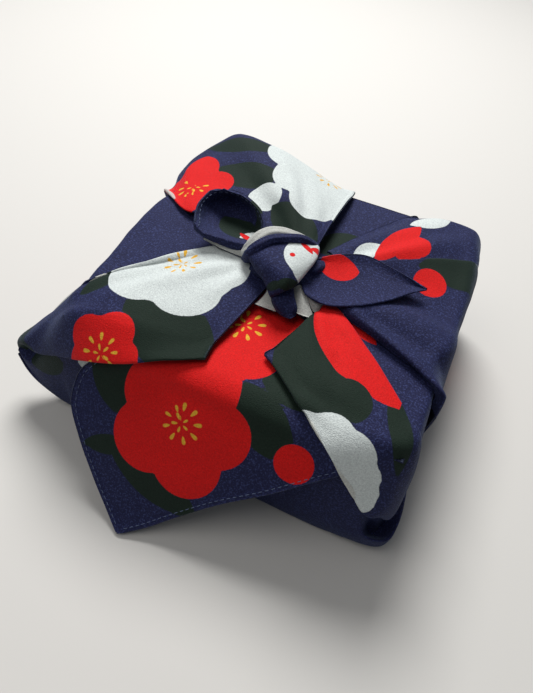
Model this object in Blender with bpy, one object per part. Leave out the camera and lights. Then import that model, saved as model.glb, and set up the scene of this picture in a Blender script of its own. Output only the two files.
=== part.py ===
"""Furoshiki wrap on a box: one square cloth folded round a low square box and tied on top.

The box stands at the origin on the plane z = 0. South (-Y) is the front, where the loose
corner of the cloth hangs out over the edge as a flap. The west (-X) and east (+X) corners
of the cloth are lifted over the box and tied in a square knot, which leaves two tails.

Tables are in millimetres, as a pattern cutter would note them. Meshes are in metres.
"""

import math
from collections import namedtuple

import bmesh
import bpy
import numpy as np
from mathutils import Matrix

MM = 0.001

# Driving sizes, in millimetres
BOX_X, BOX_Y, BOX_Z = 196.0, 192.0, 79.5
CLOTH = 1.4
PIECE_GAP = 0.3
EDGE_GAP = 2.0

# Heights of the middle of each ply that lies on the box
BOX_TOP = CLOTH + PIECE_GAP + BOX_Z
PLY_STEP = CLOTH + 0.6
SOUTH_PLY = BOX_TOP + 0.8 + CLOTH / 2
NORTH_PLY = SOUTH_PLY + PLY_STEP
BAND_PLY = NORTH_PLY + PLY_STEP
WALL_X = BOX_X / 2 + EDGE_GAP + CLOTH / 2
WALL_Y = BOX_Y / 2 + EDGE_GAP + CLOTH / 2

# One fold of a band that runs from the knot over an edge of the box: the places that its
# middle line passes, and how far it stands up between the knot and the edge.
Fold = namedtuple("Fold", "name neck lift edge hang foot")
# One upright section through the south or north wall: where it stands, its foot, its belly,
# and its lip, which is the box's edge in the middle and the rim of an ear at the ends.
Wall = namedtuple("Wall", "x foot_y foot_z belly_y belly_z lip_y lip_z tuck_y tuck_z")
# One row of the flap: its distance south, its height and its two ends.
Row = namedtuple("Row", "y z west east crown")
# One section of a rope of gathered cloth in the knot.
Coil = namedtuple("Coil", "x y z wide thick")

SOUTH_WEST_BAND = [
    Fold("south hem", (-6, -31, 93), 0, (-13, -80, 88.9), (-12, -91.5, 88.6), (-13, -87, 86.7)),
    Fold("front fold", (-9, -28, 94), 1, (-27, -89, 90), (-28, -101, 88.4), (-28, -97, 86.4)),
    Fold("over the flap", (-13, -24, 95), 2, (-50, -93, 91.5), (-52, -109.5, 80.8), (-52, -105.5, 79.6)),
    Fold("flap's end", (-17, -20, 95), 3, (-74, -96, 91), (-78, -112.5, 72), (-77.5, -109, 70.6)),
    Fold("ear's root", (-20, -15, 96), 5, (-94, -97, 87), (-99, -110, 61), (-97, -106, 62)),
    Fold("ear's slit", (-23, -10, 96), 7, (-110, -95, 72), (-119, -107, 49), (-117, -103, 51)),
    Fold("ear's hollow", (-25, -7, 96), 8.5, (-118, -94, 66), (-134, -104, 47), (-133, -99, 43)),
    Fold("ear's tip", (-27, -4, 96), 9, (-122, -91, 63), (-144.5, -98, 37), (-138, -103, 21)),
    Fold("ear's back", (-29, -1, 95), 7.5, (-112, -84, 74), (-134, -88, 40), (-120, -96, 9)),
    Fold("ridge", (-30, 3, 95), 4, (-102, -74, 87), (-118, -76, 46), (-106, -84, 1.4)),
    Fold("ridge's turn", (-29.5, 1.5, 92), 0.5, (-101, -76, 84.5), (-116.5, -78, 46), (-105.5, -85, 1.4)),
]
WEST_SIDE = [
    Fold("under the ridge", (-29, -2, 91), 0, (-99.5, -81, 84), (-113, -84, 46), (-104.5, -88, 1.2)),
    Fold("below the ridge", (-29.5, 3, 91.5), -1, (-102, -66, 85.6), (-115.5, -70, 47), (-105, -76, 1.2)),
    Fold("west middle", (-29, 7, 92), -1, (-104, -43, 86.5), (-113, -45, 48), (-104, -47, 1.0)),
    Fold("west sag", (-27, 11, 91), -2, (-109, -11, 86), (-117, -11, 52), (-104, -11, 1.0)),
    Fold("west shoulder", (-24, 15, 91), -2, (-109.5, 22, 86.5), (-116, 22, 56), (-105, 22, 1.0)),
    Fold("under the fold", (-20, 18, 90), -1, (-105, 60, 86.5), (-110, 62, 54), (-105, 64, 1.0)),
    Fold("north west", (-16, 20, 90), 0, (-98, 90, 87), (-103, 95, 50), (-103, 97, 1.0)),
]
NORTH_WEST_BAND = [
    Fold("tucked under", (-25, 4, 92.5), 1, (-84, 20, 88.8), (-105, 41, 83), (-110, 50, 72)),
    Fold("south fold", (-24, 6, 94), 2, (-88, 15, 91.5), (-118, 36, 84), (-122.5, 47, 66)),
    Fold("red side", (-17, 16, 96), 4, (-117, 66, 88), (-128, 76, 54), (-115, 86, 12)),
    Fold("ear's tip", (-12, 18, 97), 6, (-114, 95, 90), (-138, 98, 46), (-124, 103, 14)),
    Fold("ear's hollow", (-8, 19, 97), 7, (-97, 110, 99), (-120, 108, 58), (-117, 104, 52)),
    Fold("puff", (-3, 20, 97), 7, (-70, 108, 99.5), (-82, 113, 70), (-82, 109, 74)),
    Fold("north fold", (2, 20, 96), 5, (-37, 103, 96), (-42, 110, 80), (-43, 107, 84)),
    Fold("north hem", (6, 18, 94), 3, (5, 92, 89.6), (4, 101, 87.6), (3, 97, 86.9)),
]
SOUTH_EAST_BAND = [
    Fold("south hem", (25, -42, 91), 0, (17, -67, 89), (14.5, -74, 88.6), (18, -72, 86.7)),
    Fold("front fold", (26, -41, 92), 0.5, (26.5, -73, 90), (23.5, -80, 88.6), (28, -78, 87.0)),
    Fold("over the hem", (27, -39, 93), 1, (47, -88, 90.5), (44, -96, 88.8), (48, -93, 87.2)),
    Fold("over the edge", (28, -37, 94), 2, (67, -96, 90), (63.5, -108.5, 82), (67, -104.5, 82.4)),
    Fold("white side", (29, -35, 94), 2, (83, -97, 89), (77.5, -112, 66), (81, -108.5, 69)),
    Fold("pocket's left", (29, -33, 94), 2, (93, -96, 87.5), (93, -112, 46), (94, -108, 49)),
    Fold("pocket's roof", (29, -31, 94), 2, (99, -92, 86.5), (100, -109, 47), (99, -103, 38)),
    Fold("pocket's right", (30, -28, 94), 2, (101.5, -87, 86.8), (105.5, -103, 41), (103.5, -99, 26)),
    Fold("right edge", (32.5, -22, 93), 1.5, (101.5, -82, 86.8), (107.5, -93, 46), (106, -93, 30)),
    Fold("edge's turn", (31, -23, 91.5), 0, (100.5, -83, 85.4), (106, -92, 46), (105, -92, 30)),
]
EAST_WALL = [
    Fold("under the band", (28, -30, 90.5), -1, (100.5, -91, 84.6), (103.8, -95, 40), (103.2, -94, 3)),
    Fold("corner", (29, -27, 90.5), -1, (101.5, -77, 85), (104.5, -86, 42), (103.6, -88, 1.4)),
    Fold("east wall", (29, -25, 90.5), -1, (101.5, -62, 85), (104.5, -68, 46), (103, -70, 1.0)),
    Fold("east middle", (28, -22, 91), -1, (101, -44, 85), (103.5, -47, 46), (103, -47, 1.0)),
    Fold("under the pleat", (27, -18, 90), -1, (101, 6, 85.2), (103.2, 7, 46), (103, 7, 1.0)),
]
EAST_SIDE = [
    Fold("tucked under", (24, -21, 92), 0, (86, -38, 88.6), (102, -49, 85), (104, -50, 74)),
    Fold("pleat", (24, -19, 94), 2, (90, -45, 92), (108, -54, 87), (108, -55, 70)),
    Fold("pleat's back", (25, -14, 95), 3, (101, -30, 91), (108, -36, 58), (105, -40, 20)),
    Fold("valley", (25, -8, 94), 0, (102, -4, 87), (106, -4, 50), (104.5, -4, 1.2)),
    Fold("below the ridge", (25, -2, 95), 1, (102, 32, 87.8), (107, 34, 50), (105, 36, 1.2)),
    Fold("ridge", (24, 4, 97), 4, (101, 60, 90), (107, 64, 52), (105, 68, 1.2)),
    Fold("ridge's turn", (24, 3, 94), 2, (101.5, 58.5, 87.4), (106, 63, 52), (104.5, 67, 1.2)),
]
NORTH_EAST_BAND = [
    Fold("under the ridge", (24, 0, 92.5), 0, (101, 52, 86.4), (105, 56, 52), (104.2, 60, 1.2)),
    Fold("beside the ridge", (23, 6, 95), 1, (100.5, 70, 87.2), (105.5, 76, 52), (104.5, 80, 1.2)),
    Fold("corner", (22, 9, 96), 3, (97.5, 87, 88), (106, 97, 52), (104.5, 98, 2)),
    Fold("ear", (20, 13, 95), 2, (92, 100, 88), (105, 106.5, 52), (101, 105, 22)),
    Fold("white tip", (17, 16, 94), 2, (72, 99, 90), (79, 108, 62), (79, 104.5, 65)),
    Fold("north hem", (14, 18, 93), 1, (44, 84, 88.6), (51, 96.5, 88), (52, 93, 87.3)),
]

SOUTH_WALL = [
    Wall(-141, -101, 30, -103, 33, -103.5, 36, -101.5, 38),
    Wall(-135, -103, 20, -105.5, 25, -105.5, 32, -99, 36),
    Wall(-127, -104, 12, -107, 21, -106, 33, -97, 40),
    Wall(-116, -104, 6, -107.5, 24, -105, 46, -98, 50),
    Wall(-105, -103, 1.0, -107, 24, -105, 56, -101, 66),
    Wall(-97, -104, 1.0, -108, 26, -103, 66, -WALL_Y, 80),
    Wall(-70, -106, 1.0, -108, 30, -101.5, 74, -WALL_Y + 1.6, SOUTH_PLY - 0.4),
    Wall(0, -106, 1.0, -109, 26, -101, 74, -WALL_Y + 1.6, SOUTH_PLY - 0.4),
    Wall(60, -106, 1.0, -110, 22, -101.5, 74, -WALL_Y + 1.6, SOUTH_PLY - 0.4),
    Wall(82, -105, 1.0, -110.5, 17, -104, 60, -WALL_Y, 79),
    Wall(90, -104, 1.0, -110, 12, -108.5, 30, -99.6, 76),
]
# The cup of cloth at the south-east corner, as sections that turn round the corner
SOUTH_EAST_CUP = [
    [(97, -103, 1), (97, -106.5, 4), (97, -109, 9), (97, -109.5, 20), (97, -101.5, 14), (97, -99.4, 64)],
    [
        (102, -101, 1.2), (103.5, -104.5, 4), (104.5, -107.5, 9), (104.5, -108, 18),
        (101, -100.5, 9), (100.5, -99, 56),
    ],
    [
        (104, -98, 1.3), (107, -101, 4), (109, -104, 9), (109.5, -104, 18), (102.5, -99.5, 8),
        (101.5, -97.5, 52),
    ],
    [
        (105, -94, 1.5), (109, -95.5, 4), (111, -97, 11), (111, -97, 22), (103.5, -96.5, 10),
        (102.4, -95, 52),
    ],
    [
        (105, -89, 2), (108.5, -90, 5), (110.5, -91, 14), (110, -91, 32), (105.5, -92, 24),
        (103.6, -92, 52),
    ],
    [
        (104.5, -84, 2), (107, -84.5, 6), (108.5, -85, 18), (108, -85, 42), (106.5, -86, 46),
        (105, -86, 52),
    ],
    [
        (103.8, -78, 3), (104.6, -78, 8), (105, -78, 22), (104.8, -78, 44), (104.4, -78, 50),
        (104, -78, 56),
    ],
]
NORTH_WALL = [
    Wall(-135, 100, 30, 102, 34, 102, 39, 100, 42),
    Wall(-127, 103, 16, 104, 26, 104, 42, 100, 47),
    Wall(-116, 103, 5, 104, 26, 103, 50, 100, 56),
    Wall(-104, 103, 1.0, 104, 28, 103, 60, 100, 72),
    Wall(-96, 103, 1.0, 104.5, 30, 102.5, 70, WALL_Y + 1.5, 84),
    Wall(-60, 103, 1.0, 104.5, 34, 101.5, 74, WALL_Y, NORTH_PLY - 0.6),
    Wall(0, 103, 1.0, 104.5, 36, 101, 76, WALL_Y - 0.5, NORTH_PLY - 0.6),
    Wall(60, 103, 1.0, 104.5, 34, 101, 76, WALL_Y - 0.5, NORTH_PLY - 0.6),
    Wall(92, 103, 1.0, 104.5, 28, 102, 66, WALL_Y, 83),
    Wall(98, 102, 1.0, 104.5, 24, 103, 52, 100, 68),
    Wall(103, 101, 4, 102.5, 22, 102, 44, 99, 50),
]
SOUTH_TOP = [
    Row(-WALL_Y, SOUTH_PLY, -WALL_X + 2, WALL_X - 2, 0),
    Row(0, SOUTH_PLY, -WALL_X + 2, WALL_X - 2, 0),
    Row(93, SOUTH_PLY + 0.4, -WALL_X + 2, WALL_X - 2, 0),
    Row(WALL_Y - 1.2, SOUTH_PLY - 0.2, -WALL_X + 2, WALL_X - 2, 0),
    Row(WALL_Y - 0.4, SOUTH_PLY - 4, -95, 95, 0),
    Row(WALL_Y - 0.4, 48, -62, 62, 0),
    Row(WALL_Y - 0.4, 18, -24, 24, 0),
]
NORTH_TOP = [
    Row(WALL_Y, NORTH_PLY - 0.5, -WALL_X + 2, WALL_X - 2, 0),
    Row(90, NORTH_PLY, -WALL_X + 2, WALL_X - 2, 0),
    Row(30, NORTH_PLY, -WALL_X + 2, WALL_X - 2, 0),
    Row(-40, NORTH_PLY, -WALL_X + 2, WALL_X - 2, 0.2),
    Row(-78, NORTH_PLY, -88, 90, 0.3),
    Row(-93, NORTH_PLY, -72, 83, 0.3),
    Row(-103.5, 80.6, -66, 79, 0.5),
    Row(-108.5, 72.5, -71.5, 77, 1.0),
    Row(-115.5, 63, -78.5, 64, 1.5),
    Row(-125, 49, -79.5, 45, 2.0),
    Row(-136, 34, -69, 21, 2.0),
    Row(-147, 18.5, -54, 0, 1.5),
    Row(-156, 7.5, -40.5, -15, 0.8),
    Row(-163.5, 1.6, -29.5, -27.5, 0),
]

# The tails and the loose plies of the knot, each as lines of places that run along it, from
# its root to its end, the lines in order from one rim to the other.
NORTH_WEST_TAIL = [
    [(-26.5, -15, 100), (-35, -17.5, 100.5), (-45, -18, 101), (-54, -19, 103), (-61, -17, 105)],
    [(-24, -14, 104.5), (-34.5, -16, 105), (-44.5, -18, 105.5), (-54, -20, 107), (-61, -17.5, 109)],
    [(-27, -2.5, 99), (-38.5, -3, 98.5), (-51.5, -1.5, 99), (-61.5, -2.5, 103), (-65, -9.5, 110)],
    [(-26.5, 2, 99.5), (-40, 13, 97), (-53.5, 18, 98), (-64.5, 16, 104), (-67.5, -0.5, 112)],
    [(-25, 2, 103), (-34.5, 13.5, 103), (-46, 21.5, 105), (-57, 20.5, 109), (-67, 12, 113)],
    [(-23, 1, 107), (-26.5, 6, 110), (-33.5, 12, 113), (-47, 17, 115), (-59, 16, 115)],
]
EAST_TAIL = [
    [
        (13, -21.5, 97), (21, -26, 95.5), (31, -23.5, 95), (47, -16, 94.5), (61, -3.5, 94.5),
        (71, 7.5, 95), (77, 11.5, 96),
    ],
    [
        (11.5, -23.5, 101), (20.5, -32.5, 100), (31, -33, 99), (46, -25, 98.5), (61, -11, 98),
        (71.5, 3, 97.5), (78.5, 10.5, 97),
    ],
    [
        (13, -17.5, 100), (21, -22, 98), (31, -21, 97), (44, -13.5, 96.5), (59, -3, 96.5),
        (70.5, 6.5, 96.5), (78.5, 11, 96.8),
    ],
    [
        (14, -12, 101), (22, -10.5, 99), (32, -7, 97.5), (43.5, 0, 96.5), (57.5, 5, 96.5),
        (69.5, 10, 96.5), (78.5, 11.5, 96.8),
    ],
    [
        (14, -6, 102), (23, -0.5, 101), (32, 6, 99.5), (43, 10.5, 98.5), (57, 11, 98),
        (69.5, 11.5, 97.5), (78.5, 11.5, 97),
    ],
    [
        (14, -4.5, 104), (20.5, 2.5, 104), (29, 10.5, 103), (39.5, 16, 102), (54, 14.5, 101),
        (68, 12.5, 99.5), (78.5, 11, 97.5),
    ],
]
KNOT_PLIES = {
    "drop": [
        [
            (-21.5, -10.5, 99), (-19.5, -18, 100), (-13.5, -25, 98), (-6.5, -29.5, 96),
            (0, -34, 94), (1.5, -29.5, 92),
        ],
        [
            (-22.5, -13, 104), (-21.5, -23.5, 106), (-13, -31, 104), (-5.5, -35.5, 102),
            (2, -42.5, 99.5), (2.5, -35.5, 96),
        ],
        [
            (-19, -9.5, 107), (-16, -21, 111), (-7, -31, 111), (0.5, -37.5, 108),
            (5.5, -42.5, 103), (4, -34.5, 98),
        ],
        [
            (-10, 1.5, 108), (-5.5, -12, 113.5), (0.5, -26, 114), (7, -37, 111.5),
            (9, -40.5, 105.5), (6.5, -33, 100),
        ],
        [
            (-2, 7, 107), (3, -4.5, 112.5), (7.5, -19.5, 113.5), (10, -31, 111),
            (10.5, -38, 105.5), (7.5, -31, 100),
        ],
        [
            (6.5, 10, 104), (12, 0, 109), (15, -13.5, 110), (14, -25, 108), (11.5, -35.5, 104.5),
            (8.5, -28.5, 99),
        ],
        [
            (8, 11, 100), (12.5, 2.5, 104), (13.5, -11, 105), (12, -21.5, 103), (10.5, -32.5, 101),
            (8, -27, 97),
        ],
    ],
    "heel": [
        [(-1, -34.5, 99), (1, -39.5, 97.5), (4, -42.5, 94), (7.5, -44, 91.5)],
        [(1, -34.5, 101), (4, -42, 99.5), (8.5, -46, 96), (12, -46.5, 92.5)],
        [(4.5, -32, 102), (8, -39.5, 100.5), (12.5, -44, 96.5), (16, -46, 92)],
        [(8, -27.5, 101), (12.5, -35.5, 99.5), (17, -40.5, 95.5), (17.5, -42, 91.5)],
        [(8, -25, 98), (12.5, -33.5, 96.5), (16.5, -39.5, 93), (17, -41.5, 90.5)],
    ],
    "pale_strip": [
        [(5, -24.5, 99), (9.5, -29.5, 97), (13.5, -34, 95), (17.5, -40.5, 92)],
        [(9, -25, 101), (12.5, -27.5, 99.5), (17.5, -34, 97), (23, -41, 92.5)],
        [(12, -22, 100), (16, -27, 98), (22.5, -34.5, 95.5), (28.5, -39.5, 91.5)],
    ],
    "pale_end": [
        [(14, -24, 100.5), (18, -29, 97), (22, -32.5, 94.5), (25.5, -35, 91.5)],
        [(17.5, -26, 100.5), (22.5, -30.5, 97.5), (26.5, -32.5, 94.5), (28, -32.5, 92)],
        [(20.5, -24, 99), (26.5, -28, 96), (29.5, -28, 94), (30, -28.5, 92)],
    ],
    "pale_bit": [
        [(12.5, -19, 103), (13.5, -15, 104), (13.5, -8, 104), (12.5, 0, 102)],
        [(15, -16.5, 101), (17.5, -13.5, 103), (18, -8.5, 103.5), (17, -1, 102)],
        [(16.5, -14, 97), (19, -10, 99), (20, -4.5, 100), (18.5, 1.5, 99)],
    ],
    "pale_corner": [
        [(-7.5, -29.5, 97), (-3.5, -35, 95), (-5.5, -42, 91.5), (-6.5, -44, 90.5)],
        [(-2.5, -33, 97), (-0.5, -36.5, 94.5), (0, -42.5, 91.5), (-1, -44, 90.5)],
        [(1, -34, 97), (4, -38.5, 94), (6, -43, 91.5), (6.5, -43.5, 90.5)],
    ],
    "pale_slip": [
        [(-56.5, -15, 98), (-45, -17.5, 98), (-34, -18.5, 98), (-23, -19, 98)],
        [(-55, -15.5, 101), (-44.5, -16, 101), (-34, -16.5, 101), (-24.5, -15, 101)],
    ],
}
KNOT_ROPES = {
    "heart": [
        Coil(-18, -14, 94, 10, 8),
        Coil(-6, -16, 98, 14, 11),
        Coil(6, -18, 97, 12, 10),
        Coil(14, -22, 93, 8, 7),
    ],
    "pale_wrap": [
        Coil(-25.5, -18, 100, 4.5, 4),
        Coil(-23, -16.5, 105, 5, 4.5),
        Coil(-20.5, -11.5, 109, 5, 4.5),
        Coil(-16.5, -6.5, 111, 5, 4.5),
        Coil(-10.5, -3.5, 111.5, 4.5, 4.5),
        Coil(-3.5, -0.5, 110, 4, 4),
        Coil(2.5, 4, 105, 4, 4),
        Coil(7.5, 7, 99, 4, 4),
    ],
    "crest": [
        Coil(-24, -20.5, 100, 3.4, 3.2),
        Coil(-20.5, -22.5, 107, 3.6, 3.6),
        Coil(-17, -20.5, 111.5, 3.6, 3.6),
        Coil(-12.5, -15.5, 114, 3.4, 3.4),
        Coil(-5, -11, 115.3, 3, 3.2),
        Coil(3, -5.5, 114.3, 2.8, 3),
        Coil(11, -2, 110.5, 2.8, 3),
        Coil(16, 0, 104.5, 3, 3),
        Coil(17.5, 0, 99, 3, 3),
    ],
}

NEAR_SHARE, FAR_SHARE = 0.35, 0.86
BAND_ACROSS, BAND_ALONG = 2, 12
WALL_ACROSS, WALL_ALONG = 2, 8
STRIP_ACROSS, STRIP_ALONG = 6, 18
TAIL_ACROSS, TAIL_ALONG = 6, 9
KNOT_ACROSS, KNOT_ALONG = 4, 5
ROPE_SIDES, ROPE_ALONG = 8, 8


def spread(knots, count):
    """Even places along a list of knot values, ends included."""
    return np.linspace(knots[0], knots[-1], count)


def smooth(points, knots, places):
    """Reads a smooth curve (cubic, no overshoot) through points at the given places.

    The first axis of points runs along the curve; the others are carried along.
    """
    points = np.asarray(points, float)
    knots = np.asarray(knots, float)
    gaps = np.diff(knots).reshape((-1,) + (1,) * (points.ndim - 1))
    slopes = np.diff(points, axis=0) / gaps
    tangents = np.empty_like(points)
    tangents[0], tangents[-1] = slopes[0], slopes[-1]
    before, after = slopes[:-1], slopes[1:]
    mean = (before * gaps[1:] + after * gaps[:-1]) / (gaps[1:] + gaps[:-1])
    limit = 2.2 * np.minimum(np.abs(before), np.abs(after)) + 0.25 * np.abs(mean)
    tangents[1:-1] = np.clip(mean, -limit, limit)
    span = np.clip(np.searchsorted(knots, places, side="right") - 1, 0, len(knots) - 2)
    width = np.diff(knots)[span]
    shape = (-1,) + (1,) * (points.ndim - 1)
    t = ((places - knots[span]) / width).reshape(shape)
    width = width.reshape(shape)
    start, end = points[span], points[span + 1]
    return (
        (2 * t**3 - 3 * t**2 + 1) * start
        + (t**3 - 2 * t**2 + t) * width * tangents[span]
        + (3 * t**2 - 2 * t**3) * end
        + (t**3 - t**2) * width * tangents[span + 1]
    )


def refine(grid, across, along):
    """Turns a grid of hand-placed points into a smooth one with more rows and columns."""
    grid = np.asarray(grid, float)
    steps = np.linalg.norm(np.diff(grid, axis=1), axis=2).mean(axis=0)
    knots = np.concatenate([[0], np.cumsum(steps**0.6)])
    grid = smooth(np.swapaxes(grid, 0, 1), knots, spread(knots, along))
    knots = np.arange(grid.shape[1])
    return smooth(np.swapaxes(grid, 0, 1), knots, spread(knots, across))


def band_grid(folds, steps=BAND_ACROSS):
    """The middle surface of a band of cloth, one row of points for each fold."""
    rows = []
    for fold in folds:
        neck, edge = np.array(fold.neck, float), np.array(fold.edge, float)
        run = edge - neck
        near = neck + run * NEAR_SHARE + (0, 0, fold.lift)
        rim = [(wall - abs(neck[axis])) / abs(run[axis]) for axis, wall in enumerate((WALL_X, WALL_Y))]
        far = neck + run * min(FAR_SHARE, *rim) + (0, 0, fold.lift * 0.8)
        far[2] = max(far[2], BAND_PLY)
        rows.append([neck, near, far, edge, fold.hang, fold.foot])
    return refine(rows, steps * (len(folds) - 1) + 1, BAND_ALONG)


def wall_grid(walls, outward, cup=()):
    """The middle surface of the south or north wall with its ears, foot to tuck."""
    rows = []
    for wall in walls:
        toe = (wall.x, wall.foot_y, wall.foot_z)
        heel = (wall.x, wall.foot_y + outward * 3.5, wall.foot_z + 3)
        belly = (wall.x, wall.belly_y, wall.belly_z)
        lip = (wall.x, wall.lip_y, wall.lip_z)
        inside = (wall.x, (wall.lip_y + wall.tuck_y) / 2, (wall.lip_z + wall.tuck_z) / 2)
        tuck = (wall.x, wall.tuck_y, wall.tuck_z)
        rows.append([toe, heel, belly, lip, inside, tuck])
    rows += list(cup)
    return refine(rows, WALL_ACROSS * (len(rows) - 1) + 1, WALL_ALONG)


def strip_grid(rows, across, along):
    """The middle surface of a ply that lies on the box, from its table of rows."""
    grid = []
    for share in (0, 0.25, 0.5, 0.75, 1):
        line = []
        for row in rows:
            x = row.west + (row.east - row.west) * share
            line.append((x, row.y, row.z + row.crown * math.sin(math.pi * share)))
        grid.append(line)
    return refine(grid, across, along)


def normals_of(grid):
    """Unit normals of a grid of points."""
    across, along = np.gradient(grid, axis=0), np.gradient(grid, axis=1)
    normal = np.cross(across, along)
    return normal / np.maximum(np.linalg.norm(normal, axis=2, keepdims=True), 1e-9)


def new_object(name, mesh):
    thing = bpy.data.objects.new(name, mesh)
    bpy.context.scene.collection.objects.link(thing)
    return thing


def mesh_from(name, points, faces):
    """A closed mesh in metres with its faces turned outwards."""
    mesh = bpy.data.meshes.new(name)
    mesh.from_pydata([tuple(point * MM) for point in points], [], faces)
    work = bmesh.new()
    work.from_mesh(mesh)
    bmesh.ops.recalc_face_normals(work, faces=work.faces)
    if work.calc_volume(signed=True) < 0:
        bmesh.ops.reverse_faces(work, faces=work.faces)
    work.to_mesh(mesh)
    work.free()
    return mesh


def sheet(name, grid, thick=CLOTH):
    """A closed sheet of cloth: its two faces and the edge between them."""
    rows, columns = grid.shape[:2]
    count = rows * columns
    offset = normals_of(grid) * thick / 2
    points = np.concatenate([(grid + offset).reshape(-1, 3), (grid - offset).reshape(-1, 3)])
    index = np.arange(count).reshape(rows, columns)
    faces = []
    for i in range(rows - 1):
        for j in range(columns - 1):
            quad = [index[i, j], index[i + 1, j], index[i + 1, j + 1], index[i, j + 1]]
            faces.append([int(corner) for corner in quad])
            faces.append([int(corner) + count for corner in reversed(quad)])
    rim = list(index[:, 0]) + list(index[-1, 1:]) + list(index[-2::-1, -1]) + list(index[0, -2:0:-1])
    for here, after in zip(rim, rim[1:] + rim[:1]):
        faces.append([int(after), int(here), int(here) + count, int(after) + count])
    return new_object(name, mesh_from(name, points, faces))


def rope(name, sections):
    """A closed solid of gathered cloth swept through its sections."""
    table = np.array([list(section) for section in sections], float)
    steps = np.linalg.norm(np.diff(table[:, :3], axis=0), axis=1)
    knots = np.concatenate([[0], np.cumsum(steps)])
    table = smooth(table, knots, spread(knots, ROPE_ALONG))
    centre, wide, thick = table[:, :3], table[:, 3], table[:, 4]
    run = np.gradient(centre, axis=0)
    run /= np.linalg.norm(run, axis=1, keepdims=True)
    side = np.cross(run, (0, 0, 1))
    side /= np.linalg.norm(side, axis=1, keepdims=True)
    rise = np.cross(side, run)
    points, faces = [], []
    for i in range(ROPE_ALONG):
        for k in range(ROPE_SIDES):
            turn = 2 * math.pi * k / ROPE_SIDES
            across = side[i] * wide[i] * math.cos(turn) + rise[i] * thick[i] * math.sin(turn)
            points.append(centre[i] + across)
    for i in range(ROPE_ALONG - 1):
        for k in range(ROPE_SIDES):
            here, after = i * ROPE_SIDES + k, i * ROPE_SIDES + (k + 1) % ROPE_SIDES
            faces.append([here, after, after + ROPE_SIDES, here + ROPE_SIDES])
    faces.append(list(range(ROPE_SIDES)))
    faces.append(list(range(len(points) - ROPE_SIDES, len(points))))
    return new_object(name, mesh_from(name, points, faces))


def floor_ply():
    """The ply under the box, out to the feet of the four walls."""
    south = [(wall.x, wall.foot_y - 1.0) for wall in SOUTH_WALL if wall.foot_z <= 1.4]
    south += [(line[0][0], line[0][1] - 1.0) for line in SOUTH_EAST_CUP[:3]]
    north = [(wall.x, wall.foot_y + 1.0) for wall in NORTH_WALL if wall.foot_z <= 1.4]
    east = [fold.foot for fold in EAST_WALL[1:] + EAST_SIDE[3:] + NORTH_EAST_BAND[1:] if fold.foot[2] <= 1.4]
    west = [fold.foot for fold in SOUTH_WEST_BAND[:-1] + WEST_SIDE[2:] if fold.foot[2] <= 1.4]
    east = [(x + 0.6, y) for x, y, z in sorted(east, key=lambda place: place[1]) if abs(y) < 96]
    west = [(x - 0.6, y) for x, y, z in sorted(west, key=lambda place: -place[1]) if abs(y) < 96]
    outline = south + east + north[::-1] + west
    count = len(outline)
    points = [np.array((x, y, z)) for z in (CLOTH, 0.0) for x, y in outline]
    faces = [list(range(count)), list(range(2 * count - 1, count - 1, -1))]
    for here in range(count):
        after = (here + 1) % count
        faces.append([after, here, here + count, after + count])
    return new_object("floor_ply", mesh_from("floor_ply", points, faces))


def material(name, colour, roughness):
    finish = bpy.data.materials.new(name)
    finish.use_nodes = True
    shader = finish.node_tree.nodes["Principled BSDF"]
    shader.inputs["Base Color"].default_value = (*colour, 1.0)
    shader.inputs["Roughness"].default_value = roughness
    shader.inputs["Metallic"].default_value = 0.0
    finish.diffuse_color = (*colour, 1.0)
    return finish


def hide_helper(thing):
    thing.hide_render = True
    thing.hide_set(True)
    thing.display_type = "WIRE"


def join(whole, pieces):
    """Unions the pieces into the whole, one after another."""
    for piece in pieces:
        union = whole.modifiers.new("join_" + piece.name, "BOOLEAN")
        union.operation = "UNION"
        union.solver = "MANIFOLD"
        union.object = piece
        hide_helper(piece)


def build_cloth():
    cloth = floor_ply()
    cloth.name = "cloth"
    bands = {
        "south_west_band": (SOUTH_WEST_BAND, BAND_ACROSS),
        "west_side": (WEST_SIDE, 1),
        "north_west_band": (NORTH_WEST_BAND, BAND_ACROSS),
        "south_east_band": (SOUTH_EAST_BAND, BAND_ACROSS),
        "east_wall": (EAST_WALL, 1),
        "east_side": (EAST_SIDE, BAND_ACROSS),
        "north_east_band": (NORTH_EAST_BAND, BAND_ACROSS),
    }
    pieces = [
        sheet("south_wall", wall_grid(SOUTH_WALL, -1, SOUTH_EAST_CUP)),
        sheet("north_wall", wall_grid(NORTH_WALL, 1)),
        sheet("south_top", strip_grid(SOUTH_TOP, 5, 12)),
        sheet("north_top", strip_grid(NORTH_TOP, STRIP_ACROSS, STRIP_ALONG)),
    ]
    pieces += [sheet(name, band_grid(folds, steps)) for name, (folds, steps) in bands.items()]
    pieces += [
        sheet("north_west_tail", refine(NORTH_WEST_TAIL, TAIL_ACROSS, TAIL_ALONG)),
        sheet("east_tail", refine(EAST_TAIL, TAIL_ACROSS, TAIL_ALONG)),
    ]
    pieces += [sheet(name, refine(lines, KNOT_ACROSS, KNOT_ALONG)) for name, lines in KNOT_PLIES.items()]
    pieces += [rope(name, sections) for name, sections in KNOT_ROPES.items()]
    join(cloth, pieces)
    cloth.data.materials.append(material("printed_crepe", (0.035, 0.035, 0.12), 0.85))
    return cloth


def build_box():
    mesh = bpy.data.meshes.new("box")
    work = bmesh.new()
    size = Matrix.Diagonal((BOX_X * MM, BOX_Y * MM, BOX_Z * MM, 1))
    middle = Matrix.Translation((0, 0, BOX_Z * MM / 2))
    bmesh.ops.create_cube(work, size=1, matrix=middle @ size)
    work.to_mesh(mesh)
    work.free()
    box = new_object("box", mesh)
    box.location.z = (CLOTH + PIECE_GAP) * MM
    box.data.materials.append(material("plain_card", (0.62, 0.54, 0.42), 0.8))
    return box


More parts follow.
